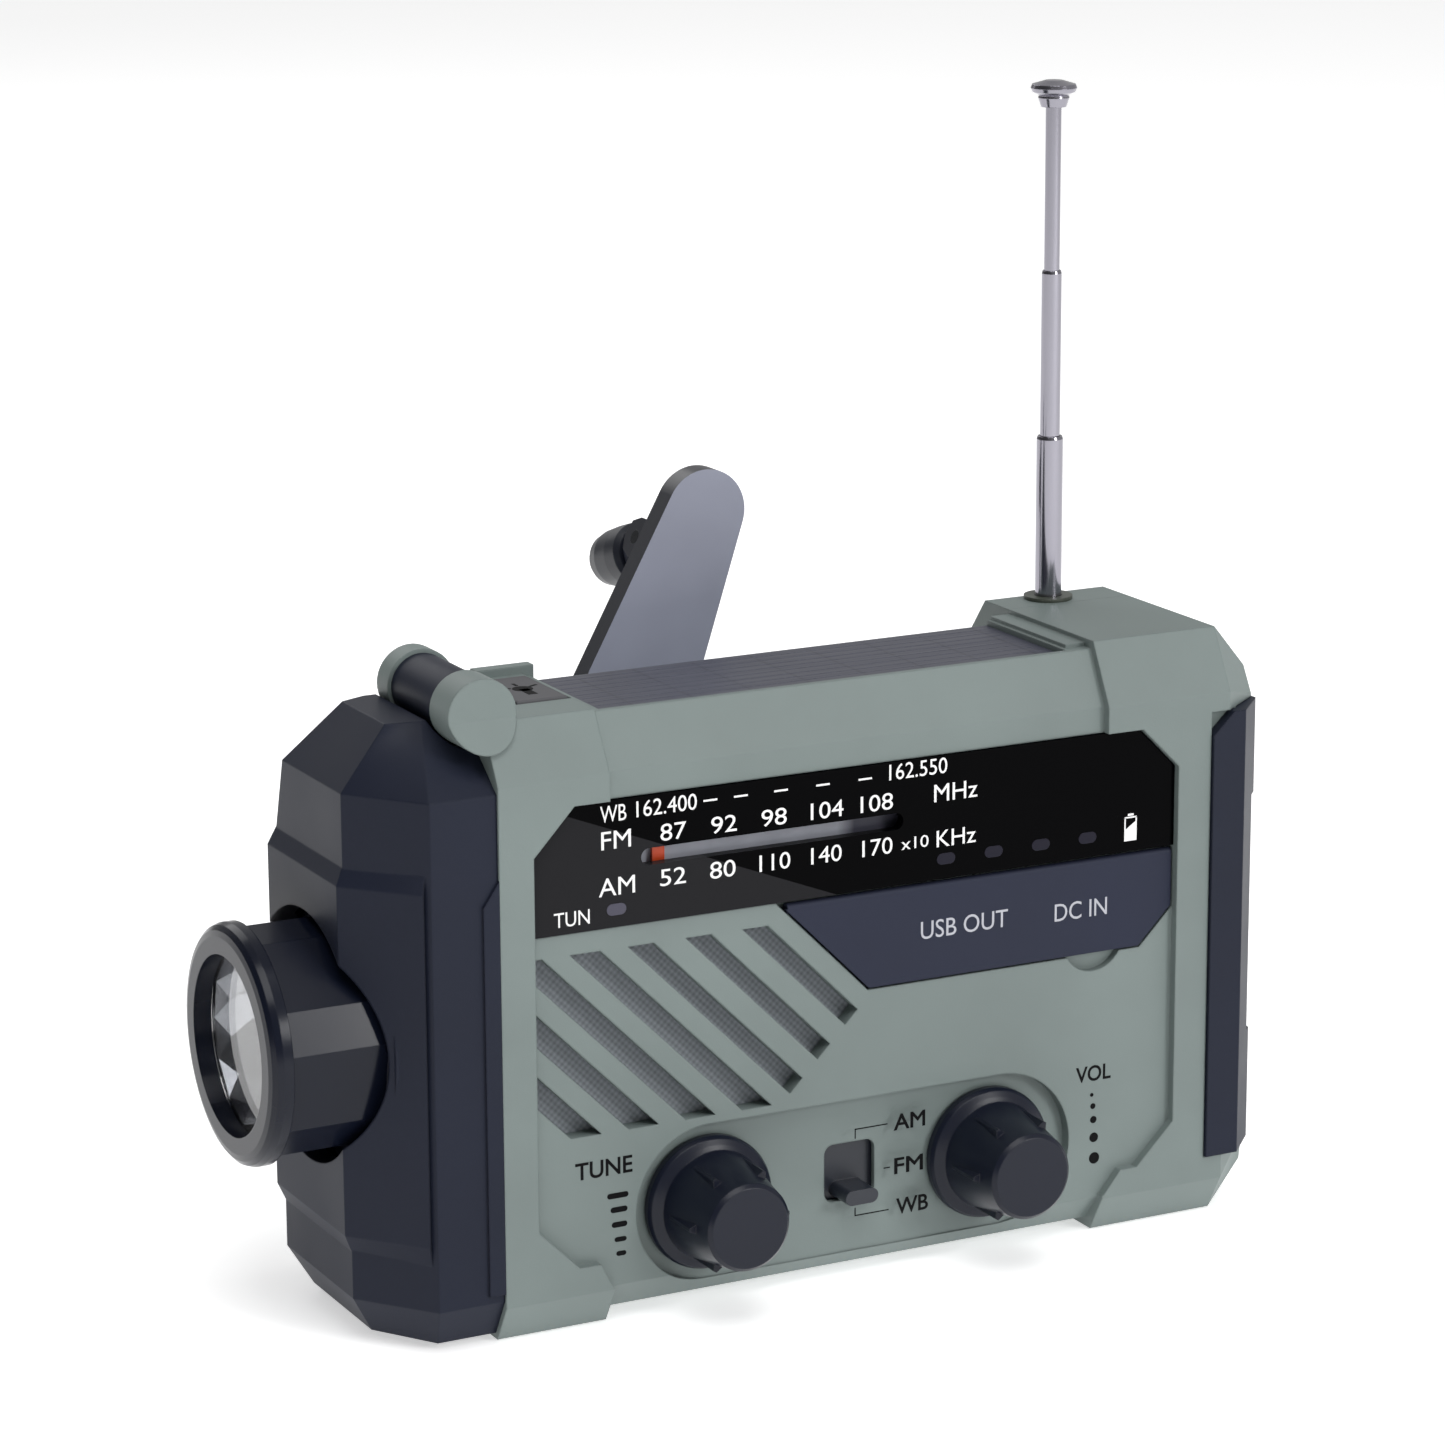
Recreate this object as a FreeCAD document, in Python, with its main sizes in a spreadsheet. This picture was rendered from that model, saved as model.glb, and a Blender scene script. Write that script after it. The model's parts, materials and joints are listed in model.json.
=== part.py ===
import FreeCAD, Part
import math
import os
import Sketcher

# Hand-crank emergency radio. Millimetres, +Z up, +X to the right of the front, front facing -Y.
# The origin is the middle of the base plane the case stands on.

doc = FreeCAD.newDocument("emergency_radio")
V = FreeCAD.Vector

# ---------------------------------------------------------------- driving sizes
SIZES = {}
sheet = doc.addObject("Spreadsheet::Sheet", "sizes")


class Size:
    """A number together with the sheet expression that gives it."""

    def __init__(self, value, text):
        self.v = float(value)
        self.text = text

    def __add__(self, other):
        other = as_size(other)
        return Size(self.v + other.v, "(%s + %s)" % (self.text, other.text))

    def __sub__(self, other):
        other = as_size(other)
        return Size(self.v - other.v, "(%s - %s)" % (self.text, other.text))

    def __mul__(self, other):
        other = as_size(other)
        return Size(self.v * other.v, "(%s * %s)" % (self.text, other.text))

    def __truediv__(self, other):
        other = as_size(other)
        return Size(self.v / other.v, "(%s / %s)" % (self.text, other.text))

    def __neg__(self):
        return Size(-self.v, "(0 - %s)" % self.text)

    __radd__ = __add__

    def __rsub__(self, other):
        return as_size(other) - self

    def __rmul__(self, other):
        return self * other


def as_size(value):
    if isinstance(value, Size):
        return value
    return Size(value, "%.6g" % value if value >= 0 else "(0 - %.6g)" % -value)


def define(rows):
    """Put name, value, note rows on the sheet and keep them as Size objects."""
    for name, value, note in rows:
        row = len(SIZES) + 1
        sheet.set("A%d" % row, name)
        sheet.set("B%d" % row, "%.6g" % value)
        sheet.set("C%d" % row, note)
        sheet.setAlias("B%d" % row, name)
        SIZES[name] = Size(value, "sizes." + name)


def size(name):
    return SIZES[name]

# ---------------------------------------------------------------- modelling helpers
def body(label, place=None, axis=None, angle=0):
    """A PartDesign body; place is where its own origin sits, axis and angle turn it first."""
    item = doc.addObject("PartDesign::Body", label)
    item.Label = label
    if place is not None:
        here = [as_size(value) for value in place]
        turn = FreeCAD.Rotation(axis or V(0, 0, 1), angle)
        item.Placement = FreeCAD.Placement(V(here[0].v, here[1].v, here[2].v), turn)
        for letter, value in zip("xyz", here):
            item.setExpression("Placement.Base." + letter, value.text)
    return item


def plane_of(item, name):
    for feature in item.Origin.OriginFeatures:
        if feature.Role == name + "_Plane":
            return feature
    return None


def sketch_on(item, plane, at):
    """A sketch on one of the body's origin planes, moved along the world axis to at."""
    sketch = item.newObject("Sketcher::SketchObject", item.Name + "_sketch")
    sketch.AttachmentSupport = (plane_of(item, plane), [""])
    sketch.MapMode = "FlatFace"
    shift = -as_size(at) if plane == "XZ" else as_size(at)
    sketch.AttachmentOffset = FreeCAD.Placement(V(0, 0, shift.v), FreeCAD.Rotation())
    sketch.setExpression("AttachmentOffset.Base.z", shift.text)
    return sketch


def tie(sketch, kind, geometry, point, value):
    """Bind one coordinate of a sketch point to an expression."""
    if value.text == "0":
        line = -2 if kind == "DistanceX" else -1
        sketch.addConstraint(Sketcher.Constraint("PointOnObject", geometry, point, line))
        return
    index = sketch.addConstraint(Sketcher.Constraint(kind, -1, 1, geometry, point, value.v))
    sketch.setExpression("Constraints[%d]" % index, value.text)


def draw_outline(sketch, points):
    """A closed polygon whose corners are all bound to sheet expressions."""
    corners = [(as_size(a), as_size(b)) for a, b in points]
    first = sketch.GeometryCount
    count = len(corners)
    for i in range(count):
        here = corners[i]
        there = corners[(i + 1) % count]
        sketch.addGeometry(Part.LineSegment(V(here[0].v, here[1].v, 0), V(there[0].v, there[1].v, 0)), False)
    for i in range(count):
        after = first + (i + 1) % count
        sketch.addConstraint(Sketcher.Constraint("Coincident", first + i, 2, after, 1))
    for i in range(count):
        tie(sketch, "DistanceX", first + i, 1, corners[i][0])
        tie(sketch, "DistanceY", first + i, 1, corners[i][1])


def draw_circle(sketch, centre, radius):
    a = as_size(centre[0])
    b = as_size(centre[1])
    radius = as_size(radius)
    index = sketch.addGeometry(Part.Circle(V(a.v, b.v, 0), V(0, 0, 1), radius.v), False)
    tie(sketch, "DistanceX", index, 3, a)
    tie(sketch, "DistanceY", index, 3, b)
    number = sketch.addConstraint(Sketcher.Constraint("Radius", index, radius.v))
    sketch.setExpression("Constraints[%d]" % number, radius.text)


def extrude(item, plane, low, high, shapes, cut=False):
    """Pad or pocket from low to high along the axis the plane faces.

    shapes holds lists of corners, or (centre, radius) pairs for circles.
    """
    low = as_size(low)
    high = as_size(high)
    start = high if (plane == "XZ") != cut else low
    sketch = sketch_on(item, plane, start)
    for shape in shapes:
        if isinstance(shape, tuple):
            draw_circle(sketch, shape[0], shape[1])
        else:
            draw_outline(sketch, shape)
    kind = "PartDesign::Pocket" if cut else "PartDesign::Pad"
    feature = item.newObject(kind, item.Name + ("_pocket" if cut else "_pad"))
    feature.Profile = sketch
    feature.Length = (high - low).v
    feature.setExpression("Length", (high - low).text)
    sketch.Visibility = False
    return feature


def add(item, plane, low, high, *shapes):
    return extrude(item, plane, low, high, shapes)


def cut(item, plane, low, high, *shapes):
    return extrude(item, plane, low, high, shapes, True)


def turn(item, points, remove=False):
    """Revolve a closed outline of (radius, height) corners about the body's own Z axis."""
    sketch = sketch_on(item, "XZ", 0)
    draw_outline(sketch, points)
    kind = "PartDesign::Groove" if remove else "PartDesign::Revolution"
    feature = item.newObject(kind, item.Name + "_turn")
    feature.Profile = sketch
    feature.ReferenceAxis = (sketch, ["V_Axis"])
    feature.Angle = 360
    sketch.Visibility = False
    return feature


def box(x0, x1, y0, y1):
    """The four corners of a rectangle."""
    return [(x0, y0), (x1, y0), (x1, y1), (x0, y1)]


def loft(item, plane, low, high, start, end):
    """An additive loft between two outlines with the same number of corners."""
    first = sketch_on(item, plane, low)
    draw_outline(first, start)
    second = sketch_on(item, plane, high)
    draw_outline(second, end)
    feature = item.newObject("PartDesign::AdditiveLoft", item.Name + "_loft")
    feature.Profile = first
    feature.Sections = [second]
    feature.Ruled = True
    return feature


def soften(item, kind, amount, choose):
    """Fillet or chamfer the edges of the body's tip that choose picks by their middle point."""
    doc.recompute()
    base = item.Tip
    amount = as_size(amount)
    names = []
    for number, edge in enumerate(base.Shape.Edges, 1):
        middle = edge.CenterOfMass
        if choose(edge, middle):
            names.append("Edge%d" % number)
    feature = item.newObject("PartDesign::" + kind, item.Name + "_" + kind.lower())
    feature.Base = (base, names)
    if kind == "Fillet":
        feature.Radius = amount.v
        feature.setExpression("Radius", amount.text)
    else:
        feature.Size = amount.v
        feature.setExpression("Size", amount.text)
    return feature


def circular_at(height, radius):
    """Chooser for whole circular edges at a height and radius of a body's own frame."""
    def choose(edge, middle):
        if not isinstance(edge.Curve, Part.Circle):
            return False
        return abs(edge.Curve.Radius - as_size(radius).v) < 0.01 and abs(middle.z - as_size(height).v) < 0.01
    return choose


define([
    ("half_depth", 20, "front and back faces of the middle section, from the centre plane"),
    ("case_top", 79.5, "top edge of the middle section"),
    ("split", 4.6, "parting plane between the front and rear shells"),
    ("wall", 2.4, "front and back wall"),
    ("under", 1.3, "underside of the middle section above the feet"),
    ("front_bevel", 3.5, "depth of the top bevel"),
    ("low_crease", 5.1, "where the front face turns into the bottom bevel"),
    ("rear_top", 5.7, "where the rear slope meets the top"),
    ("band", 1.2, "how far the end bands stand proud"),
    ("left_joint", 47.5, "joint with the torch housing, left of centre"),
    ("left_band", 32.3, "inner edge of the left band, left of centre"),
    ("right_band", 39.8, "inner edge of the right band"),
    ("end_start", 58.5, "where the right end starts to taper"),
    ("end_face", 64, "left face of the torch housing; the right end is 1.2 further out"),
    ("frame_left", 42.8, "left edge of the recessed front panel"),
    ("frame_right", 50.7, "right edge of the recessed front panel"),
    ("frame_top", 69, "top edge of the recessed front panel"),
    ("frame_low", 8.7, "bottom edge of the recessed front panel"),
    ("frame_corner", 5.6, "corner cut of the recessed front panel"),
    ("dial_low", 52.4, "bottom edge of the display window"),
    ("dial_thick", 1.5, "display window"),
    ("panel_gap", 0.1, "fitting gap around inlaid pieces"),
    ("cover_low", 39, "bottom edge of the port cover"),
    ("cover_tip", 8.7, "left tip of the port cover, left of centre"),
    ("cover_thick", 1.5, "port cover"),
    ("slot_pitch", 8.05, "speaker slots, measured along X"),
    ("slot_wide", 4.25, "speaker slots, measured along X"),
    ("slot_top", 49.6, "upper end of the slots"),
    ("slot_low", 25.6, "lower end of the slots"),
    ("knob_x", 18.1, "tuning knob, left of centre"),
    ("volume_x", 23.1, "volume knob, right of centre"),
    ("knob_z", 13.9, "height of both knobs"),
    ("knob_skirt", 8.9, "radius"),
    ("knob_cap", 5.7, "radius"),
    ("knob_tall", 12.1, "knob from back to cap"),
    ("recess_deep", 1.6, "recess around the knobs"),
    ("recess_more", 1.7, "gap between skirt and recess wall"),
    ("shaft", 3, "control shaft radius"),
    ("lever_x", 2.9, "centre of the band switch"),
    ("lever_z", 14.3, "centre of the band switch window"),
    ("window_wide", 7.4, "band switch window"),
    ("window_tall", 7.8, "band switch window"),
    ("solar_left", 31.2, "solar panel, left of centre"),
    ("solar_right", 36.4, "solar panel"),
    ("solar_front", 15.7, "solar panel, in front of centre"),
    ("solar_drop", 0.7, "panel surface under the front lip"),
    ("button_x", 36.2, "torch button, left of centre"),
    ("button_y", 3.8, "torch button, in front of centre"),
    ("button_wide", 7, "torch button"),
    ("button_long", 12.6, "torch button"),
    ("bar_x", 47.7, "strap bar, left of centre"),
    ("bar_radius", 4.1, "strap bar"),
    ("boss_radius", 4.6, "bosses that hold the strap bar"),
    ("torch_z", 37.9, "torch axis"),
    ("torch_radius", 15.5, "torch rim"),
    ("torch_face", 75.6, "front of the torch, left of centre"),
    ("lens_radius", 11.6, "clear lens"),
    ("aerial_x", 48.1, "antenna"),
    ("aerial_y", 8.3, "antenna"),
    ("aerial_step", 22.4, "exposed length of each antenna section"),
    ("aerial_thick", 1.8, "radius of the lowest section"),
    ("pivot_x", 13.5, "crank axis, left of centre"),
    ("pivot_z", 54.7, "crank axis"),
    ("arm_long", 43, "crank axis to arm end centre"),
    ("arm_thick", 3.5, "crank arm"),
    ("arm_face", 23, "front face of the crank arm"),
    ("arm_end", 5.8, "radius of the arm's outer end"),
    ("arm_hub", 9.9, "radius of the arm's hub end"),
    ("arm_lean", 23.4, "degrees from upright"),
    ("grip_out", 36.5, "crank axis to the fold pin"),
    ("grip_tilt", 18.6, "degrees the knob leans towards the crank axis"),
    ("grip_radius", 4.2, "crank knob"),
    ("grip_long", 10, "crank knob"),
    ("tooth", 0.6, "gear module"),
    ("bumper_thick", 1.6, "corner bumper"),
])
doc.recompute()

half = size("half_depth")
top = size("case_top")
split = size("split")
wall = size("wall")
front = -half
crease = top - 7
rear_crease = top - 17.5
bar_z = top + 1.4
low_crease = size("low_crease")
band = size("band")
joint = -size("left_joint")
proud = front - band
feet = as_size(0)
end_face = size("end_face")
right_end = end_face + 1.2
end_start = size("end_start")
ceiling = top - 4.9
inside = front + wall


# ---------------------------------------------------------------- case outlines
def front_side(raise_by, low, high, bevel):
    """Cross-section of the front half, as (Y, Z) corners."""
    face = front - raise_by
    return [(split, low), (face + 3, low), (face, low_crease), (face, crease),
            (face + bevel, high), (split, high)]


def rear_side(raise_by, low, high, edge, slope_low):
    """Cross-section of the rear half, as (Y, Z) corners."""
    face = half + raise_by
    return [(split, low), (face - 3, low), (face, low_crease), (face, slope_low),
            (edge, high), (split, high)]


def front_panel():
    """Outline of the recessed front panel between the two bands, as (X, Z) corners."""
    left = -size("frame_left")
    right = size("frame_right")
    high = size("frame_top")
    low = size("frame_low")
    corner = size("frame_corner")
    return [(left + corner, high), (right - corner, high), (right, high - corner),
            (right, low + corner), (right - corner, low), (42.6, low), (40, low - 3.2),
            (-size("left_band"), low - 3.8), (-size("left_band") - 2, low),
            (left + corner, low), (left, low + corner), (left, high - corner - 0.4)]


def window_outline(gap):
    left = -size("frame_left") + gap
    right = size("frame_right") - gap
    high = size("frame_top") - gap
    corner = size("frame_corner")
    return [(left + corner, high), (right - corner, high), (right, high - corner),
            (right, size("dial_low") + gap), (left, size("dial_low") + gap), (left, high - corner - 0.4)]


def cover_outline(gap, high):
    """Outline of the port cover or its bay, up to the height given, as (X, Z) corners."""
    right = size("frame_right") - gap
    low = size("cover_low") + gap
    slant = size("dial_low") - size("cover_tip") + gap * 1.41
    return [(slant - high, high), (slant - low, low), (right - 5, low), (right, low + 5), (right, high)]


def slots():
    """The seven slanted speaker slots, clipped by the grille's outline, as (X, Z) corners."""
    pitch = size("slot_pitch")
    wide = size("slot_wide")
    high = size("slot_top")
    low = size("slot_low")
    edge = -size("frame_left") + 0.5
    shapes = []
    start = as_size(-13.4)
    limit = as_size(-33.4)
    for step in range(3):
        x = start - pitch * step
        # the lower end is square to the slot: x - z stays at the limit there
        left_end = (x + high + limit) / 2
        right_end = (x + wide + high + limit) / 2
        shapes.append([(x, high), (x + wide - 0.6, high), (right_end - 0.3, right_end - 0.3 - limit),
                       (left_end, left_end - limit)])
    x = start - pitch * 3
    run = high - low
    shapes.append([(x, high), (x + wide, high), (x + wide + run, low), (x + run, low)])
    for step in (4, 5, 6):
        x = start - pitch * step
        left_high = high - (edge - x)
        shapes.append([(edge, left_high), (x + run, low), (x + wide + run, low)])
        if step == 4:
            shapes[-1].append((x + wide, high))
            shapes[-1].append((edge, high))
        else:
            shapes[-1].append((edge, left_high + wide))
    return shapes


def bumper_plan(shrink):
    """Plan of the corner bumper's outer skin, or of the case under it, as (X, Y) corners."""
    face = half + band + 0.5 - shrink
    far = right_end + 0.4 - shrink
    return [(55.8, -face), (end_start + 2.2 - shrink * 0.4, -face), (far, -face + 5.2), (far, face - 5.2),
            (end_start + 2.2 - shrink * 0.4, face), (55.8, face)]


POSTS = [(-43.2, 12.4), (54.2, 12.4), (-43.2, 55), (54.2, 55)]


def make_front_shell():
    item = body("front_shell")
    add(item, "YZ", joint, end_start, front_side(as_size(0), size("under"), top, size("front_bevel")))
    add(item, "YZ", joint, -size("left_band"), front_side(band, feet, top + 0.4, as_size(4.2)))
    wide_band = front_side(band, feet, top + 1.1, as_size(4.2))
    add(item, "YZ", size("right_band"), end_start, wide_band)
    inner_end = [(split, 5), (front + 4.6, 5), (front + 4, 9), (front + 4, 70.5), (front + 6, top - 5.5),
                 (split, top - 5.5)]
    loft(item, "YZ", end_start, right_end, wide_band, inner_end)
    cut(item, "XZ", proud - 1, front, front_panel())
    # low foot in the middle of the underside, level with the feet of both bands
    add(item, "XZ", -10, split, box(-9, 9, 0, 3))
    # bosses for the strap bar, with a face that follows the top bevel
    axis = (-size("bar_x"), bar_z)
    add(item, "XZ", -21, -11.8, (axis, size("boss_radius")))
    add(item, "XZ", 1.2, split, (axis, size("boss_radius")))
    cut(item, "YZ", -54, -42.9, [(-17.4, 88), (-17.4, 80.3), (-21.9, 72.4), (-30, 72.4), (-30, 88)])
    cut(item, "XZ", -11.8, 1.2, (axis, size("bar_radius") + 0.2))
    # low step between the solar panel's right end and the right band
    stop = size("solar_right") + 0.5
    add(item, "XY", top - 1, top + 0.5, box(stop, size("right_band") + 1, 5.2 - half, split))
    # hollow
    hollow = [(split, size("under") + wall), (inside + 1.5, size("under") + wall),
              (inside, low_crease + 1), (inside, crease - 1), (inside + 1.4, ceiling), (split, ceiling)]
    cut(item, "YZ", joint + 1.6, end_face - 5, hollow)
    # solid pads behind the knob recess and screw posts
    recess = size("knob_skirt") + size("recess_more")
    left = -size("knob_x")
    right = size("volume_x")
    z = size("knob_z")
    add(item, "XZ", inside - 0.2, inside + 1.2, ((left, z), recess - 1.2))
    add(item, "XZ", inside - 0.2, inside + 1.2, ((right, z), recess - 1.2))
    for x, height in POSTS:
        add(item, "XZ", inside - 0.4, split, ((x, height), 2.8))
    floor = front + size("recess_deep")
    cut(item, "XZ", proud - 1, floor, ((left, z), recess))
    cut(item, "XZ", proud - 1, floor, ((right + 1.5, z), recess))
    cut(item, "XZ", proud - 1, floor, box(left, right + 1.5, z - recess, z + recess))
    cut(item, "XZ", floor - 1, inside + 2, ((left, z), size("shaft") + 0.4))
    cut(item, "XZ", floor - 1, inside + 2, ((right, z), size("shaft") + 0.4))
    for x, height in POSTS:
        cut(item, "XZ", -6, split, ((x, height), 1.1))
    # display window ledge and the slot the pointer shows in
    cut(item, "XZ", proud - 1, front + size("dial_thick") - 0.3, window_outline(as_size(0)))
    cut(item, "XZ", front, inside + 1, box(-30, 12, 57.6, 64.6))
    # port bay, finger notch and the holes for both sockets
    cut(item, "XZ", proud - 1, front + size("cover_thick"), cover_outline(as_size(0), size("dial_low")))
    cut(item, "XZ", proud - 1, front + 1.1, ((38.6, size("cover_low") + 2.3), 4.6))
    cut(item, "XZ", front, inside + 1, box(12.1, 25.7, 42.4, 48.6))
    cut(item, "XZ", front, inside + 1, box(31.7, 41.3, 43.6, 47.4))
    for shape in slots():
        cut(item, "XZ", front - 1, inside + 1, shape)
    # band switch window
    wide = size("window_wide") / 2
    tall = size("window_tall") / 2
    x = size("lever_x")
    z = size("lever_z")
    cut(item, "XZ", front - 1, inside + 2, box(x - wide, x + wide, z - tall + 1.3, z + tall - 1.3))
    cut(item, "XZ", front - 1, inside + 2, box(x - wide + 1.3, x + wide - 1.3, z - tall, z + tall))
    for across in (-1, 1):
        for up in (-1, 1):
            corner = (x + (wide - 1.3) * across, z + (tall - 1.3) * up)
            cut(item, "XZ", front - 1, inside + 2, (corner, 1.3))
    # solar panel seat and torch button hole in the top
    cut(item, "XY", top - size("solar_drop") - 2.2, top + 2,
        box(-size("solar_left"), size("solar_right"), -size("solar_front"), split + 1))
    wide = size("button_wide") / 2 + 0.3
    long = size("button_long") / 2 + 0.3
    cut(item, "XY", ceiling - 1, top + 3,
        box(-size("button_x") - wide, -size("button_x") + wide, -size("button_y") - long, -size("button_y") + long))
    seat_bumper(item)
    return item


def seat_bumper(item):
    """Cut the step the corner bumper sits in."""
    outer = [(55.7, -half * 1.3), (80, -half * 1.3), (80, half * 1.3), (55.7, half * 1.3)]
    inner = bumper_plan(size("bumper_thick"))
    cut(item, "XY", 8.4, 70.1, outer, [(55.75, inner[0][1])] + inner[1:5] + [(55.75, inner[5][1])])


def make_rear_shell():
    item = body("rear_shell")
    slope = rear_crease
    add(item, "YZ", joint, end_start, rear_side(as_size(0), size("under"), top - 1, size("rear_top"), slope))
    add(item, "YZ", joint, -size("left_band"),
        rear_side(band, feet, top + 0.4, size("rear_top") + 0.6, slope))
    wide_band = rear_side(band, feet, top + 1.1, as_size(11), slope + 6)
    add(item, "YZ", size("right_band"), end_start, wide_band)
    inner_end = [(split, 5), (half - 4.6, 5), (half - 4, 9), (half - 4, slope + 4), (9.5, top - 5.5),
                 (split, top - 5.5)]
    loft(item, "YZ", end_start, right_end, wide_band, inner_end)
    # rib beside the torch button
    add(item, "YZ", -38.6, -30.6, [(split, 76), (7.2, 76), (7.6, top), (6.4, top + 1.4), (split, top + 1.4)])
    hollow = [(split, size("under") + wall), (half - wall - 1.5, size("under") + wall),
              (half - wall, low_crease + 1), (half - wall, slope - 2.2), (6, ceiling), (split, ceiling)]
    cut(item, "YZ", joint + 1.6, end_face - 5, hollow)
    pivot = (-size("pivot_x"), size("pivot_z"))
    add(item, "XZ", 14, half + 1.4, (pivot, 5.5))
    for x, height in POSTS:
        add(item, "XZ", split, half - wall + 0.4, ((x, height), 2.8))
    add(item, "XZ", 14.4, half - wall + 0.4, ((-0.4, 48.6), 2.4))
    cut(item, "XZ", 13, half + 3, (pivot, 2.55))
    cut(item, "XZ", 14.2, half - wall, ((-0.4, 48.6), 1.05))
    for x, height in POSTS:
        cut(item, "XZ", split - 1, half + 3, ((x, height), 1.3))
        cut(item, "XZ", half - 2, half + 3, ((x, height), 2.6))
    # antenna well with the collar's seat on top
    aerial = (size("aerial_x"), size("aerial_y"))
    cut(item, "XY", ceiling - 1, top + 3, (aerial, size("aerial_thick") + 1.2))
    cut(item, "XY", ceiling - 28, ceiling, (aerial, size("aerial_thick") + 0.75))
    seat_bumper(item)
    return item


def make_torch_housing():
    """Dark left end: a tapered box with a raised waist, a round well and a hollow."""
    item = body("torch_housing")
    face = half + 0.8
    far = -end_face
    plan = [(joint, -face), (-56.5, -face), (far, -11), (far, 11), (-56.5, face), (joint, face)]
    knee = [(joint, -face), (-56.5, -face), (far, -11), (far, 8), (-57.5, 12.3), (joint, 12.3)]
    lid = [(joint, -10.7), (-53, -10.7), (-57.5, -10), (-57.5, 3.5), (-54, 5), (joint, 5)]
    sole = [(joint, -face + 3), (-55.5, -face + 3), (far + 3, -9.5), (far + 3, 9.5), (-55.5, face - 3),
            (joint, face - 3)]
    add(item, "XY", 6, 61, plan)
    loft(item, "XY", 61, 71.6, plan, knee)
    loft(item, "XY", 71.6, top - 0.1, knee, lid)
    loft(item, "XY", 0.8, 6, sole, plan)
    waist = [(-57.3, -face + 0.3), (far - 1, -11.3), (far - 1, 11.3), (-57.3, face - 0.3)]
    blend = [(-57, -face + 0.6), (far + 0.1, -10.8), (far + 0.1, 10.8), (-57, face - 0.6)]
    add(item, "XY", 14.6, 60, waist)
    loft(item, "XY", 60, 62.4, waist, blend)
    loft(item, "XY", 12, 14.6, blend, waist)
    add(item, "XZ", -face - 0.4, -face, [(-49.7, 7), (joint, 7), (joint, 60.8), (-49.7, 57.6)])
    cavity = [(joint, -face + 2.2), (-55.6, -face + 2.2), (far + 2, -10.2), (far + 2, 10.2),
              (-55.6, face - 2.2), (joint, face - 2.2)]
    cut(item, "XY", 4, 60.6, cavity)
    cut(item, "XY", 60, 72, box(-55, joint, -16, 7))
    centre = (0, size("torch_z"))
    add(item, "YZ", -60.2, -56, (centre, size("torch_radius") + 2))
    cut(item, "YZ", -70, -60.2, (centre, size("torch_radius") + 0.9))
    cut(item, "YZ", -61, -50, (centre, size("torch_radius") - 0.3))
    cut(item, "XZ", -24, 6, ((-size("bar_x"), bar_z), size("boss_radius") + 0.25))
    return item


def make_bumper():
    item = body("bumper_strip")
    outer = bumper_plan(as_size(0))
    inner = bumper_plan(size("bumper_thick"))
    ring = outer + [(inner[5][0], inner[5][1])] + [inner[4], inner[3], inner[2], inner[1], inner[0]]
    ring[6] = (55.8, inner[5][1])
    ring[11] = (55.8, inner[0][1])
    add(item, "XY", 8.5, 70, ring)
    # the waist is thinner, and the upper and lower corners of both ends are cut back
    cut(item, "YZ", right_end - 0.6, 70, [(-25, 24), (25, 24), (25, 57), (-25, 57)])
    for side in (-1, 1):
        low = -25 if side < 0 else 15
        cut(item, "XZ", low, low + 10, [(50, 67), (55.8, 67), (59, 70), (59, 75), (50, 75)])
    return item


# ---------------------------------------------------------------- front panel pieces
def make_front_panel_pieces():
    gap = size("panel_gap")
    item = body("display_window")
    back = front + size("dial_thick") - 0.3
    add(item, "XZ", back - size("dial_thick"), back, window_outline(gap))
    cut(item, "XZ", front - 2, back, box(-26.6, 8.6, 59.9, 62.1))
    cut(item, "XZ", front - 2, back, ((-26.6, 61), 1.1))
    cut(item, "XZ", front - 2, back, ((8.6, 61), 1.1))

    item = body("dial_plate")
    plate = inside + 0.8
    add(item, "XZ", inside, plate, box(-36, 16.5, 59.4, 68.4))
    add(item, "XZ", plate, plate + 3.2, box(-34.6, -33, 59.4, 62.8))
    add(item, "XZ", plate, plate + 3.2, box(14, 15.6, 59.4, 62.8))
    cut(item, "YZ", -35, 16, ((plate + 1.9, 61.1), 0.8))

    item = body("pointer_rail")
    add(item, "YZ", -34.6, 15.6, ((plate + 1.9, 61.1), 0.8))

    item = body("dial_pointer")
    rest = as_size(-24.4)
    # the needle hangs in front of the dial card; its foot passes below the card to the slider on the rail
    add(item, "XZ", front + 1.55, front + 2.05, box(rest - 0.85, rest + 0.85, 57.9, 62.9))
    add(item, "XZ", front + 2, plate + 0.5, box(rest - 0.7, rest + 0.7, 57.9, 59))
    add(item, "XZ", plate + 0.4, plate + 3.2, box(rest - 2, rest + 2, 57.9, 62.9))
    cut(item, "YZ", rest - 3, rest + 3, ((plate + 1.9, 61.1), 0.85))

    # the port cover turns on a round bead moulded along its top edge
    item = body("port_cover")
    outer = front - 0.2
    bead = (size("cover_thick") - 0.1) / 2
    hinge = size("dial_low") - gap - 0.2 - bead
    add(item, "XZ", outer, outer + bead * 2, cover_outline(gap + 0.2, hinge))
    start = gap * 3 + bead * 2 - size("cover_tip")
    add(item, "YZ", start, size("frame_right") - gap - 0.2, ((outer + bead, hinge), bead))

    item = body("grille_screen")
    add(item, "XZ", inside, inside + 0.5, box(-43, 4.6, 24.4, 51))


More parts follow.
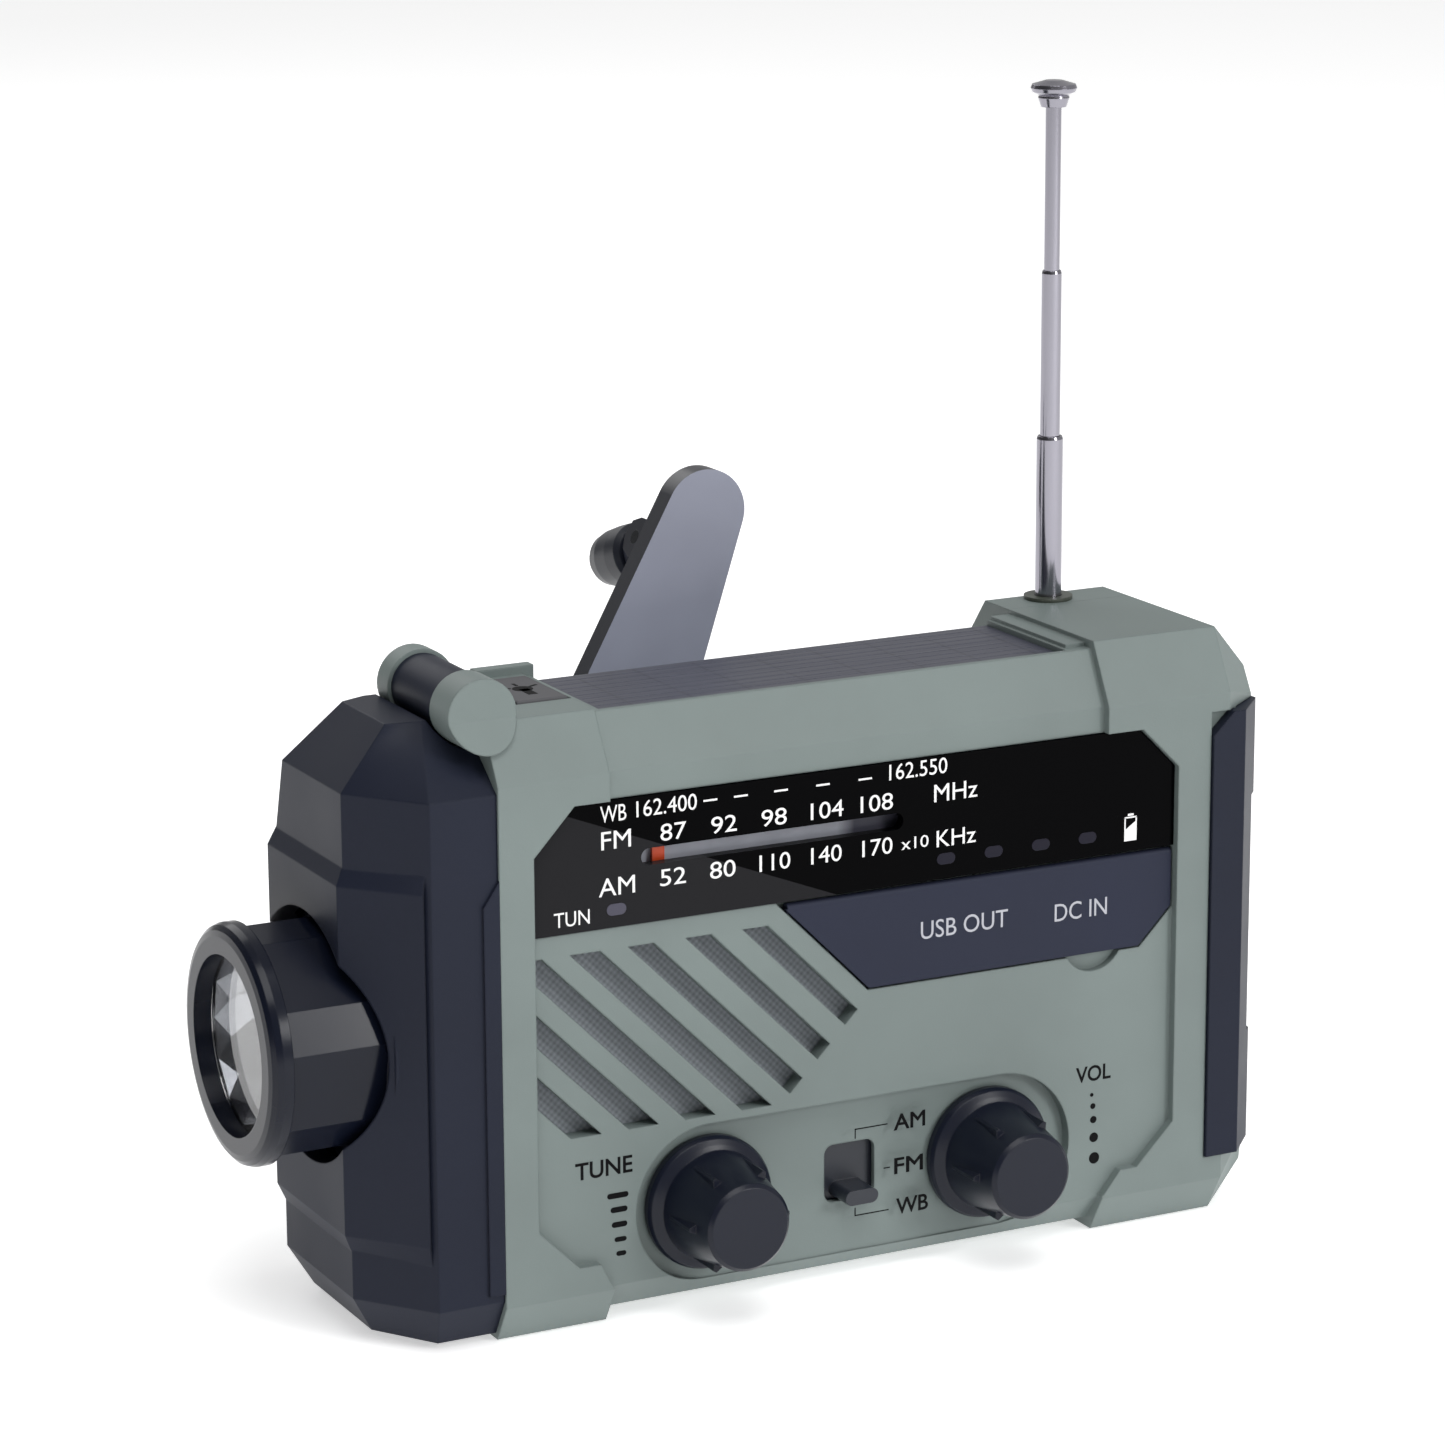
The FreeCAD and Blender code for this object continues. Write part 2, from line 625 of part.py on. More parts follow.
def make_board():
    """Main circuit board with everything soldered to it."""
    face = as_size(-3.6)
    item = body("main_board")
    add(item, "XZ", face, face + 1.6, box(-40, 47, 8.5, 70))
    for x, z in ((-37, 66.6), (44, 66.6), (-37, 16.4), (44, 16.4)):
        cut(item, "XZ", face - 1, face + 2, ((x, z), 1.2))
    for x, z in POSTS[1::2]:
        cut(item, "XZ", face - 1, face + 2, ((x, z), 3.2))

    item = body("usb_socket")
    usb = box(12.4, 25.4, 42.7, 48.3)
    add(item, "XZ", front + 1.9, face, usb)
    cut(item, "XZ", front + 1, front + 11, box(12.8, 25, 43.1, 47.9))
    add(item, "XZ", front + 3, front + 11.5, box(13.4, 24.4, 45.7, 47.2))

    item = body("dc_socket")
    add(item, "XZ", front + 1.9, face, box(32, 41, 43.9, 47.1))
    cut(item, "XZ", front + 1, front + 7.5, box(32.4, 40.6, 44.3, 46.7))
    add(item, "XZ", front + 2.8, front + 8, box(33.3, 39.7, 45.2, 45.8))

    z = size("knob_z")
    item = body("tuning_capacitor")
    x = -size("knob_x")
    add(item, "XZ", -13, face, box(x - 8.6, x + 8.6, z - 8.4, z + 8.6))
    cut(item, "XZ", -14, -8, ((x, z), size("shaft") + 0.06))

    item = body("volume_pot")
    x = size("volume_x")
    add(item, "XZ", -12, face, ((x, z), 8))
    cut(item, "XZ", -14, -8, ((x, z), size("shaft") + 0.06))

    item = body("band_switch")
    x = size("lever_x")
    z = size("lever_z")
    add(item, "XZ", -15.2, face, box(x - 5, x + 5, z - 7.2, z + 7.2))
    cut(item, "XZ", -16, -10, box(x - 2.9, x + 2.9, z - 5.6, z + 5.6))

    item = body("band_lever")
    rest = z - 2.55
    # a thumb piece in the window, a broad shutter behind it and a stem in the switch
    add(item, "XZ", front - 1.9, inside + 0.5, box(x - 1.4, x + 1.4, rest - 1, rest + 1))
    add(item, "XZ", front - 1.9, inside + 0.5, ((x - 1.4, rest), 1))
    add(item, "XZ", front - 1.9, inside + 0.5, ((x + 1.4, rest), 1))
    add(item, "XZ", inside + 0.35, inside + 1.1, box(x - 4.6, x + 4.6, rest - 5.5, rest + 8.3))
    add(item, "XZ", inside + 1, -11, box(x - 1.2, x + 1.2, rest - 1, rest + 1))


def make_speaker():
    item = body("speaker_basket", (-21.5, inside + 0.6, 40.6), V(1, 0, 0), -90)
    turn(item, [(13.6, 0), (15.6, 0), (15.6, 1.2), (14.2, 1.2), (8.4, 4.6), (8.4, 5.4), (2.6, 5.4), (2.6, 4.8),
                (7.4, 4.8), (7.4, 4.2), (13.6, 0.7)])
    item = body("speaker_cone", (-21.5, inside + 0.6, 40.6), V(1, 0, 0), -90)
    turn(item, [(0, 2.2), (2.4, 2.9), (4.6, 3.4), (11.6, 0.5), (12.6, 0.1), (13.5, 0.1), (13.5, 0.4),
                (12.7, 0.4), (4.6, 3.8), (0, 2.6)])
    item = body("speaker_magnet", (-21.5, inside + 6, 40.6), V(1, 0, 0), -90)
    turn(item, [(0, 0), (7.9, 0), (7.9, 4.6), (7.3, 5.2), (0, 5.2)])


# ---------------------------------------------------------------- knobs
def make_knob(label, x):
    z = size("knob_z")
    item = body(label, (x, front + 1.15, z), V(1, 0, 0), 90)
    skirt = size("knob_skirt")
    cap = size("knob_cap")
    tall = size("knob_tall")
    turn(item, [(0, 0), (skirt, 0), (skirt, 0.9), (skirt - 0.3, 1.5), (skirt - 1, 1.9), (cap + 1.6, 2.2),
                (cap + 0.1, tall - 0.5), (cap - 0.4, tall), (0, tall)])
    rib = add(item, "XY", 1.5, tall - 2.9, [(cap - 0.6, -1.1), (cap + 1.4, -0.25), (cap + 1.4, 0.25), (cap - 0.6, 1.1)])
    ring = item.newObject("PartDesign::PolarPattern", label + "_ribs")
    ring.Originals = [rib]
    ring.Axis = (axis_of(item, "Z"), [""])
    ring.Angle = 360
    ring.Occurrences = 6
    item.Tip = ring
    cut(item, "XY", -1, tall - 3, ((0, 0), size("shaft")))


def axis_of(item, name):
    for feature in item.Origin.OriginFeatures:
        if feature.Role == name + "_Axis":
            return feature
    return None


def make_controls():
    z = size("knob_z")
    make_knob("tune_knob", -size("knob_x"))
    make_knob("volume_knob", size("volume_x"))
    for label, x in (("tune_shaft", -size("knob_x")), ("volume_shaft", size("volume_x"))):
        item = body(label)
        add(item, "XZ", front - size("knob_tall") + 4.2, -8.5, ((x, z), size("shaft")))
    x = -size("button_x")
    y = -size("button_y")
    wide = size("button_wide") / 2
    long = size("button_long") / 2
    item = body("lamp_button")
    add(item, "XY", ceiling - 0.4, top + 0.7, box(x - wide, x + wide, y - long, y + long))
    add(item, "XY", ceiling - 1.6, ceiling - 0.4, box(x - wide - 1, x + wide + 1, y - long - 0.8, y + long + 0.8))
    soften(item, "Fillet", 0.35, lambda edge, middle: abs(middle.z - (top.v + 0.7)) < 0.01)
    item = body("lamp_switch")
    add(item, "XY", 70, 71.4, box(x - 3, x + 3, y - 3, y + 3))
    add(item, "XY", 71.4, 71.9, ((x, y), 1.7))


# ---------------------------------------------------------------- torch
def make_torch():
    z = size("torch_z")
    face = -size("torch_face")
    rim = size("torch_radius")
    lens = size("lens_radius")
    item = body("torch_barrel", (face, 0, z), V(0, 1, 0), 90)
    # the body's Z axis runs into the case
    turn(item, [(lens, 0), (rim - 1.7, 0), (rim - 0.9, 0.2), (rim - 0.3, 0.7), (rim, 1.5), (rim, 15.2),
                (rim - 0.6, 15.2), (rim - 0.6, 21), (lens + 1, 21), (lens + 1, 2.4), (lens, 2.4)])
    # six narrow and six broad flats alternate round the barrel
    for step in range(12):
        middle = math.radians(30 * step + 11)
        out = rim.v + 3
        inn = rim.v - (0.46 if step % 2 == 0 else 1.08)
        c = math.cos(middle)
        s = math.sin(middle)
        cut(item, "XY", 2.8, 15.6, [(inn * c - 6 * s, inn * s + 6 * c), (out * c - 6 * s, out * s + 6 * c),
                                  (out * c + 6 * s, out * s - 6 * c), (inn * c + 6 * s, inn * s - 6 * c)])
    item = body("torch_lens", (face + 2.4, 0, z), V(0, 1, 0), 90)
    turn(item, [(0, 0), (lens + 0.9, 0), (lens + 0.9, 1.4), (0, 1.4)])
    item = body("torch_reflector", (face + 3.8, 0, z), V(0, 1, 0), 90)
    turn(item, [(lens - 0.2, 0), (lens + 0.9, 0), (lens + 0.9, 1), (lens - 0.1, 1), (lens - 1.6, 4.2),
                (lens - 4.6, 8.4), (3.4, 11.2), (3.4, 12.4), (2.6, 12.4), (2.6, 10.9), (lens - 5.4, 8),
                (lens - 2.3, 4)])
    item = body("torch_led", (face + 17.2, 0, z), V(0, 1, 0), -90)
    turn(item, [(0, 0), (2.5, 0), (2.5, 4.4), (1.8, 6), (0, 6.7)])
    item = body("led_board", (face + 17.2, 0, z), V(0, 1, 0), 90)
    turn(item, [(0, 0), (lens + 0.9, 0), (lens + 0.9, 1.6), (0, 1.6)])


# ---------------------------------------------------------------- solar panel, strap bar, battery
def make_top_and_power():
    gap = size("panel_gap")
    low = top - size("solar_drop") - 2.2
    plan = box(-size("solar_left") + gap, size("solar_right") - gap, -size("solar_front") + gap, split - gap)
    item = body("solar_cell")
    add(item, "XY", low, low + 1, plan)
    item = body("solar_cover")
    add(item, "XY", low + 1, low + 2.2, plan)
    item = body("strap_bar")
    axis = (-size("bar_x"), bar_z)
    add(item, "XZ", -11.8, 1.2, (axis, size("bar_radius")))
    item = body("battery_cell", (-32, 10.4, 11.8), V(0, 1, 0), 90)
    turn(item, [(0, 0), (6.4, 0), (7, 0.6), (7, 63.4), (6.4, 64), (2.4, 64), (2.4, 65), (0, 65)])
    item = body("battery_cradle")
    add(item, "YZ", -24, 26, [(1.6, 4), (15.9, 4), (15.9, 9), (1.6, 9)])
    cut(item, "YZ", -25, 27, ((10.4, 11.8), 7))
    item = body("ferrite_rod")
    add(item, "YZ", -30, 30, ((8.6, 29), 3))


# ---------------------------------------------------------------- antenna
def make_antenna():
    x = size("aerial_x")
    y = size("aerial_y")
    step = size("aerial_step")
    thick = size("aerial_thick")
    base = top + 1.1
    sleeve = base - 31
    item = body("antenna_sleeve", (x, y, sleeve))
    turn(item, [(0, 0), (thick + 0.7, 0), (thick + 0.7, 28.8), (thick + 0.05, 28.8), (thick + 0.05, 1.4), (0, 1.4)])
    item = body("antenna_collar", (x, y, base - 2.2))
    turn(item, [(thick + 0.05, 0), (thick + 1.15, 0), (thick + 1.15, 2.2), (thick + 1.5, 2.2),
                (thick + 1.5, 2.7), (thick + 0.05, 2.7)])
    low = thick
    mid = thick - 0.45
    fine = thick - 0.75
    item = body("antenna_lower", (x, y, base - 6))
    turn(item, [(mid + 0.05, 0), (low, 0), (low, step + 5.6), (low - 0.15, step + 6), (mid + 0.05, step + 6)])
    item = body("antenna_middle", (x, y, base + step - 5))
    turn(item, [(fine + 0.05, 0), (mid, 0), (mid, step + 4.6), (mid - 0.12, step + 5), (fine + 0.05, step + 5)])
    item = body("antenna_upper", (x, y, base + step * 2 - 4))
    turn(item, [(0, 0), (fine, 0), (fine, step + 3.4), (0, step + 3.4)])
    item = body("antenna_tip", (x, y, base + step * 3 - 0.6))
    turn(item, [(0, 0), (thick - 0.1, 0), (thick + 0.3, 1.2), (thick + 0.2, 1.5), (thick + 1.1, 2),
                (thick + 1.3, 2.5), (thick + 1.1, 3), (thick - 0.6, 3.5), (0, 3.6)])


# ---------------------------------------------------------------- crank and dynamo
def number(name):
    """One driving size read back from the sheet."""
    return float(sheet.get(name))


def gear_face(teeth, phase, bore, low, high):
    """A spur gear blank with straight-sided teeth, its axis along Y at the origin."""
    module = number("tooth")
    pitch = module * teeth / 2
    inner = pitch - 1.25 * module
    outer = pitch + 0.85 * module
    step = 2 * math.pi / teeth
    corners = []
    for i in range(teeth):
        middle = phase + i * step
        for radius, part in ((inner, -0.30), (outer, -0.11), (outer, 0.11), (inner, 0.30)):
            angle = middle + part * step
            corners.append(V(radius * math.cos(angle), low, radius * math.sin(angle)))
    wire = Part.makePolygon(corners + [corners[0]])
    solid = Part.Face(wire).extrude(V(0, high - low, 0))
    hole = Part.makeCylinder(bore, high - low + 2, V(0, low - 1, 0), V(0, 1, 0))
    return solid.cut(hole)


def shape_node(label, shape, x=0, y=0, z=0):
    item = doc.addObject("Part::Feature", label)
    item.Label = label
    item.Shape = shape
    item.Placement = FreeCAD.Placement(V(x, y, z), FreeCAD.Rotation())
    return item


CRANK_TEETH = 36
WHEEL_TEETH = 32
PINION_TEETH = 12
FIRST_ANGLE = math.radians(-25)
SECOND_ANGLE = math.radians(-15)


def make_drive():
    module = number("tooth")
    px = -number("pivot_x")
    pz = number("pivot_z")
    first = module * (CRANK_TEETH + PINION_TEETH) / 2
    second = module * (WHEEL_TEETH + PINION_TEETH) / 2
    ix = px + first * math.cos(FIRST_ANGLE)
    iz = pz + first * math.sin(FIRST_ANGLE)
    dx = ix + second * math.cos(SECOND_ANGLE)
    dz = iz + second * math.sin(SECOND_ANGLE)
    # each follower has a gap where its driver has a tooth, on the line between the axes
    shape_node("crank_gear", gear_face(CRANK_TEETH, FIRST_ANGLE, 2.5, 9.5, 12), px, 0, pz)
    pinion = gear_face(PINION_TEETH, FIRST_ANGLE + math.pi + math.pi / PINION_TEETH, 1.05, 9, 12)
    wheel = gear_face(WHEEL_TEETH, SECOND_ANGLE, 1.05, 7, 9)
    shape_node("idler_gear", pinion.fuse(wheel).removeSplitter(), ix, 0, iz)
    drive = gear_face(PINION_TEETH, SECOND_ANGLE + math.pi + math.pi / PINION_TEETH, 0.5, 7, 9)
    drive = drive.fuse(Part.makeCylinder(1, 7.6, V(0, 1.4, 0), V(0, 1, 0))).removeSplitter()
    shape_node("dynamo_pinion", drive, dx, 0, dz)
    axle = Part.makeCylinder(1, 12, V(0, 5.5, 0), V(0, 1, 0))
    shape_node("idler_axle", axle, ix, 0, iz)
    can = Part.makeCylinder(11, 6.6, V(0, -1.1, 0), V(0, 1, 0))
    can = can.makeFillet(0.8, [edge for edge in can.Edges if isinstance(edge.Curve, Part.Circle)])
    can = can.cut(Part.makeCylinder(1.05, 9, V(0, 0, 0), V(0, 1, 0)))
    shape_node("dynamo", can, dx, 0, dz)
    plate = Part.makeBox(44, 1, 27, V(-18, 5.5, 35.5))
    plate = plate.cut(Part.makeCylinder(1.6, 3, V(dx, 5, dz), V(0, 1, 0)))
    plate = plate.cut(Part.makeCylinder(1, 3, V(ix, 5, iz), V(0, 1, 0)))
    for x, z in GEAR_SCREWS:
        plate = plate.cut(Part.makeCylinder(1.1, 3, V(x, 5, z), V(0, 1, 0)))
        post = Part.makeCylinder(2.3, 11.1, V(x, 6.5, z), V(0, 1, 0))
        post = post.cut(Part.makeCylinder(1.1, 6, V(x, 6.5, z), V(0, 1, 0)))
        plate = plate.fuse(post)
    shape_node("gearbox_plate", plate.removeSplitter())
    screws = [screw(1.1, 2, 5, V(x, 5.5, z), V(0, -1, 0)) for x, z in GEAR_SCREWS]
    shape_node("gearbox_screws", Part.makeCompound(screws))


GEAR_SCREWS = [(-15, 38.5), (23.4, 38.2), (23.4, 57)]


def screw(radius, head, long, seat, out):
    """A pan-head screw whose head starts at seat and points along out."""
    body_part = Part.makeCylinder(radius, long, seat, -out)
    cap = Part.makeCylinder(head, 1.2, seat, out)
    rim_edges = [edge for edge in cap.Edges if isinstance(edge.Curve, Part.Circle)]
    top_edge = max(rim_edges, key=lambda edge: edge.CenterOfMass.dot(out))
    cap = cap.makeFillet(0.5, [top_edge])
    across = out.cross(V(1, 0, 0))
    for direction in (V(1, 0, 0), across):
        other = out.cross(direction)
        corner = seat + out * 0.6 - direction * head * 0.6 - other * 0.2
        slot = Part.makeBox(1, 1, 1)
        slot = Part.Face(Part.makePolygon([corner, corner + direction * head * 1.2,
                                           corner + direction * head * 1.2 + other * 0.4,
                                           corner + other * 0.4, corner])).extrude(out)
        cap = cap.cut(slot)
    return body_part.fuse(cap).removeSplitter()


def make_screws():
    back = number("half_depth")
    shape_node("case_screws", Part.makeCompound([screw(1.1, 2.4, 20, V(x, back - 2, z), V(0, 1, 0)) for x, z in POSTS]))
    board = [(-37, 66.6), (44, 66.6), (-37, 16.4), (44, 16.4)]
    shape_node("board_screws", Part.makeCompound([screw(1.2, 2.2, 6, V(x, -2, z), V(0, 1, 0)) for x, z in board]))


def make_crank():
    px = -size("pivot_x")
    pz = size("pivot_z")
    face = size("arm_face")
    thick = size("arm_thick")
    long = size("arm_long")
    end = size("arm_end")
    hub = size("arm_hub")
    lean = number("arm_lean")
    up = V(0, 1, 0)
    item = body("crank_shaft")
    add(item, "XZ", 7.2, face + thick - 0.6, ((px, pz), 2.5))
    cut(item, "XZ", face + thick - 7, face + thick, ((px, pz), 1))
    item = body("crank_arm", (px, 0, pz), up, lean)
    slant = math.asin((hub.v - end.v) / long.v)
    c = math.cos(slant)
    sn = math.sin(slant)
    add(item, "XZ", face, face + thick, ((0, 0), hub))
    add(item, "XZ", face, face + thick, [(hub * -c, hub * sn), (hub * c, hub * sn), (end * c, long + end * sn),
                                         (end * -c, long + end * sn)])
    add(item, "XZ", face, face + thick, ((0, long), end))
    add(item, "XZ", face - 1.2, face, ((0, 0), 6.4))
    out = size("grip_out")
    pin = face + thick + 4.4
    ears = [(face + thick - 0.5, out - 2.8), (pin, out - 2.8), (pin + 2, out - 2), (pin + 2.8, out),
            (pin + 2, out + 2), (pin, out + 2.8), (face + thick - 0.5, out + 2.8)]
    add(item, "YZ", 2.8, 4.6, ears)
    add(item, "YZ", -4.6, -2.8, ears)
    cut(item, "YZ", -6, 6, ((pin, out), 1))
    cut(item, "XZ", face - 2, face + thick - 0.6, ((0, 0), 2.5))
    cut(item, "XZ", face + thick - 1, face + thick + 1, ((0, 0), 1.1))
    item = body("fold_pin", (px, 0, pz), up, lean)
    add(item, "YZ", -4.6, 4.6, ((pin, out), 1))
    item = body("crank_screw", (px, 0, pz), up, lean)
    add(item, "XZ", face + thick, face + thick + 1.6, ((0, 0), 3.6))
    add(item, "XZ", face + thick - 6, face + thick, ((0, 0), 1))
    cut(item, "XZ", face + thick + 0.9, face + thick + 2, box(-2.4, 2.4, -0.4, 0.4))
    # the knob folds about the pin; its own frame has Z along the knob, and leans towards the crank axis
    tilt = number("grip_tilt")
    turn_up = FreeCAD.Rotation(up, lean)
    lay = FreeCAD.Rotation(V(1, 0, 0), -90 - tilt)
    whole = turn_up.multiply(lay)
    reach = turn_up.multVec(V(0, pin.v, out.v))
    rise_x = "sin(%s)" % size("arm_lean").text
    rise_z = "cos(%s)" % size("arm_lean").text
    place = (px + Size(reach.x, "(%s * %s)" % (out.text, rise_x)), pin,
             pz + Size(reach.z, "(%s * %s)" % (out.text, rise_z)))
    item = body("crank_clevis", place, whole.Axis, math.degrees(whole.Angle))
    add(item, "YZ", -2.4, 2.4, ((0, 0), 2.6))
    add(item, "YZ", -2.4, 2.4, box(-2.4, 2.4, 0, 4))
    cut(item, "YZ", -3, 3, ((0, 0), 1.05))
    add(item, "XY", 3.8, 5, ((0, 0), 3.2))
    grip = size("grip_radius")
    tail = size("grip_long") + 5.3
    add(item, "XY", 4.8, tail - 3.7, ((0, 0), 1.4))
    add(item, "XY", tail - 3.7, tail - 2.7, ((0, 0), 2.3))
    item = body("crank_knob", place, whole.Axis, math.degrees(whole.Angle))
    # a knob that narrows to a domed end, turning on the clevis's headed spigot
    turn(item, [(1.45, 5.3), (grip - 0.6, 5.3), (grip, 6), (grip, 8.4), (grip - 0.2, tail - 4), (grip - 0.6, tail - 2.2),
                (grip - 1.3, tail - 1), (grip - 2.3, tail - 0.25), (grip - 3.4, tail), (0, tail), (0, tail - 2.3),
                (2.7, tail - 2.3), (2.7, tail - 4), (1.45, tail - 4)])


# ---------------------------------------------------------------- lights
LIGHTS = [(16, 55.15), (23.1, 55.15), (30.2, 55.15), (37.3, 55.15), (-31.2, 54.8)]


def make_lights():
    """Oval indicator windows, each a separate clear plug flush in the black window."""
    back = -number("half_depth") + number("dial_thick") - 0.3
    face = back - number("dial_thick") - 0.05

    def oval(x, z):
        half_wide = 0.6
        radius = 0.75
        plug = Part.makeBox(2 * half_wide, 0.35, 2 * radius, V(x - half_wide, face, z - radius))
        for side in (-1, 1):
            plug = plug.fuse(Part.makeCylinder(radius, 0.35, V(x + side * half_wide, face, z), V(0, 1, 0)))
        return plug.removeSplitter()
    shape_node("indicator_lights", Part.makeCompound([oval(x, z) for x, z in LIGHTS]))


def seat_lights(item):
    """Shallow seats in the display window for the indicator plugs."""
    back = front + size("dial_thick") - 0.3
    face = back - size("dial_thick")
    for x, z in LIGHTS:
        cut(item, "XZ", face - 1, face + 0.3, box(x - 0.6, x + 0.6, z - 0.75, z + 0.75))
        cut(item, "XZ", face - 1, face + 0.3, ((x - 0.6, z), 0.75))
        cut(item, "XZ", face - 1, face + 0.3, ((x + 0.6, z), 0.75))


make_front_shell()
make_rear_shell()
make_torch_housing()
make_bumper()
make_front_panel_pieces()
seat_lights(doc.getObject("display_window"))
make_lights()
make_board()
make_speaker()
make_controls()
make_torch()
make_top_and_power()
make_antenna()
make_drive()
make_screws()
make_crank()


# ---------------------------------------------------------------- check and write
def finish():
    doc.recompute()
    bad = []
    for item in doc.Objects:
        if "Invalid" in item.State or "Error" in item.State:
            bad.append(item.Name)
    labels = []
    for item in doc.Objects:
        if item.TypeId == "PartDesign::Body":
            labels.append(item)
        elif item.TypeId == "Part::Feature":
            labels.append(item)
    for item in labels:
        if item.Shape.isNull() or not item.Shape.isValid():
            bad.append(item.Label)
    if bad:
        raise RuntimeError("objects that failed: " + ", ".join(bad))
    os.makedirs("parts", exist_ok=True)
    for item in labels:
        item.Shape.exportStep("parts/" + item.Label + ".step")


finish()
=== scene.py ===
import bpy
import bmesh
import json
import math
from mathutils import Vector, Matrix


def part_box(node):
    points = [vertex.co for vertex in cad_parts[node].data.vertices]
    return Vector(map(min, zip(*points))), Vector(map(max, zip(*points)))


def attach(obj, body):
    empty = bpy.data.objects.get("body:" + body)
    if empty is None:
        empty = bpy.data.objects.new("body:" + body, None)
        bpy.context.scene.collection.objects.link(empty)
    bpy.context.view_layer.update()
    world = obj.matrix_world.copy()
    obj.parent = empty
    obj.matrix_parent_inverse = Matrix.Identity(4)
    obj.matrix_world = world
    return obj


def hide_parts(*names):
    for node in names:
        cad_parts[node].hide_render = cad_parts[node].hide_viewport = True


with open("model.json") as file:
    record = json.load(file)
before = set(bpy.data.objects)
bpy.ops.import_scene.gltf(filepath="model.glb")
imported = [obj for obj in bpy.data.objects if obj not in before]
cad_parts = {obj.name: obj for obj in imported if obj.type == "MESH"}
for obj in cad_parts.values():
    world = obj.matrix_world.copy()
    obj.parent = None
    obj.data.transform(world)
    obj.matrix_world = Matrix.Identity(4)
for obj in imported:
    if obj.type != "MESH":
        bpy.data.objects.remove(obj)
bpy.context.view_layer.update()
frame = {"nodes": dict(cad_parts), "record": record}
NODES = frame["nodes"]
MM = 0.001
# printing, in millimetres: how far the ink stands out of a face, and how far it is let in
INK_PROUD = 0.02
INK_SUNK = 0.01
# broad unevenness of a moulding's tone and gloss, in millimetres
PATCH = 24.0


# ---------------------------------------------------------------- shader helpers
def linear(code):
    """A hex sRGB colour as linear RGBA."""
    out = []
    for start in (1, 3, 5):
        part = int(code[start:start + 2], 16) / 255.0
        out.append(part / 12.92 if part <= 0.04045 else ((part + 0.055) / 1.055) ** 2.4)
    return (out[0], out[1], out[2], 1.0)


def add_node(tree, kind, settings=None, values=None, links=None):
    """Adds one node: settings are its attributes, values and links go to its inputs."""
    item = tree.nodes.new(kind)
    for key, value in (settings or {}).items():
        setattr(item, key, value)
    for key, value in (values or {}).items():
        item.inputs[key].default_value = value
    for key, source in (links or {}).items():
        tree.links.new(source, item.inputs[key])
    return item


def new_material(name):
    """A material with its node tree and shader."""
    item = bpy.data.materials.new(name)
    item.use_nodes = True
    return item, item.node_tree, item.node_tree.nodes["Principled BSDF"]


def millimetres(tree):
    """Object coordinates with one unit to the millimetre."""
    coords = add_node(tree, "ShaderNodeTexCoord")
    return add_node(tree, "ShaderNodeVectorMath", {"operation": "SCALE"}, {"Scale": 1000.0},
                    {0: coords.outputs["Object"]}).outputs[0]


def noise(tree, where, size_mm, detail=3.0):
    """Noise with features about size_mm across."""
    return add_node(tree, "ShaderNodeTexNoise", None, {"Scale": 1.0 / size_mm, "Detail": detail},
                    {"Vector": where}).outputs[0]


def remap(tree, source, low, high, to_low, to_high):
    """A socket's low..high turned into to_low..to_high, and held there beyond them."""
    return add_node(tree, "ShaderNodeMapRange", None,
                    {"From Min": low, "From Max": high, "To Min": to_low, "To Max": to_high},
                    {"Value": source}).outputs[0]


def mix(tree, factor, first, second):
    """Mixes two colours, each a fixed RGBA or a socket."""
    item = add_node(tree, "ShaderNodeMix", {"data_type": "RGBA"}, None, {0: factor})
    for place, value in ((6, first), (7, second)):
        if isinstance(value, tuple):
            item.inputs[place].default_value = value
        else:
            tree.links.new(value, item.inputs[place])
    return item.outputs[2]


def shade(colour, factor):
    """The same colour, lighter or darker."""
    return (colour[0] * factor, colour[1] * factor, colour[2] * factor, 1.0)


def relief(tree, shader, height, deep_mm, round_mm=0.0):
    """Surface relief deep_mm high, on edges rounded by round_mm."""
    item = add_node(tree, "ShaderNodeBump", None, {"Strength": 1.0, "Distance": deep_mm * MM},
                    {"Height": height})
    if round_mm:
        soft = add_node(tree, "ShaderNodeBevel", {"samples": 4}, {"Radius": round_mm * MM})
        tree.links.new(soft.outputs[0], item.inputs["Normal"])
    tree.links.new(item.outputs[0], shader.inputs["Normal"])


def moulded(name, code, rough, grain_mm=0.25, grain_deep=0.01, round_mm=0.35, uneven=0.08, gloss=0.5):
    """Injection-moulded plastic: spark-eroded grain, rounded edges, slightly uneven gloss and tone."""
    item, tree, shader = new_material(name)
    where = millimetres(tree)
    broad = noise(tree, where, PATCH)
    base = linear(code)
    tone = remap(tree, broad, 0.3, 0.7, 0.0, 1.0)
    colour = mix(tree, tone, shade(base, 1 - uneven), shade(base, 1 + uneven))
    tree.links.new(colour, shader.inputs["Base Color"])
    tree.links.new(remap(tree, broad, 0.3, 0.7, rough - 0.05, rough + 0.05), shader.inputs["Roughness"])
    shader.inputs["IOR"].default_value = 1.5
    shader.inputs["Specular IOR Level"].default_value = gloss
    relief(tree, shader, noise(tree, where, grain_mm, 2.0), grain_deep, round_mm)
    return item


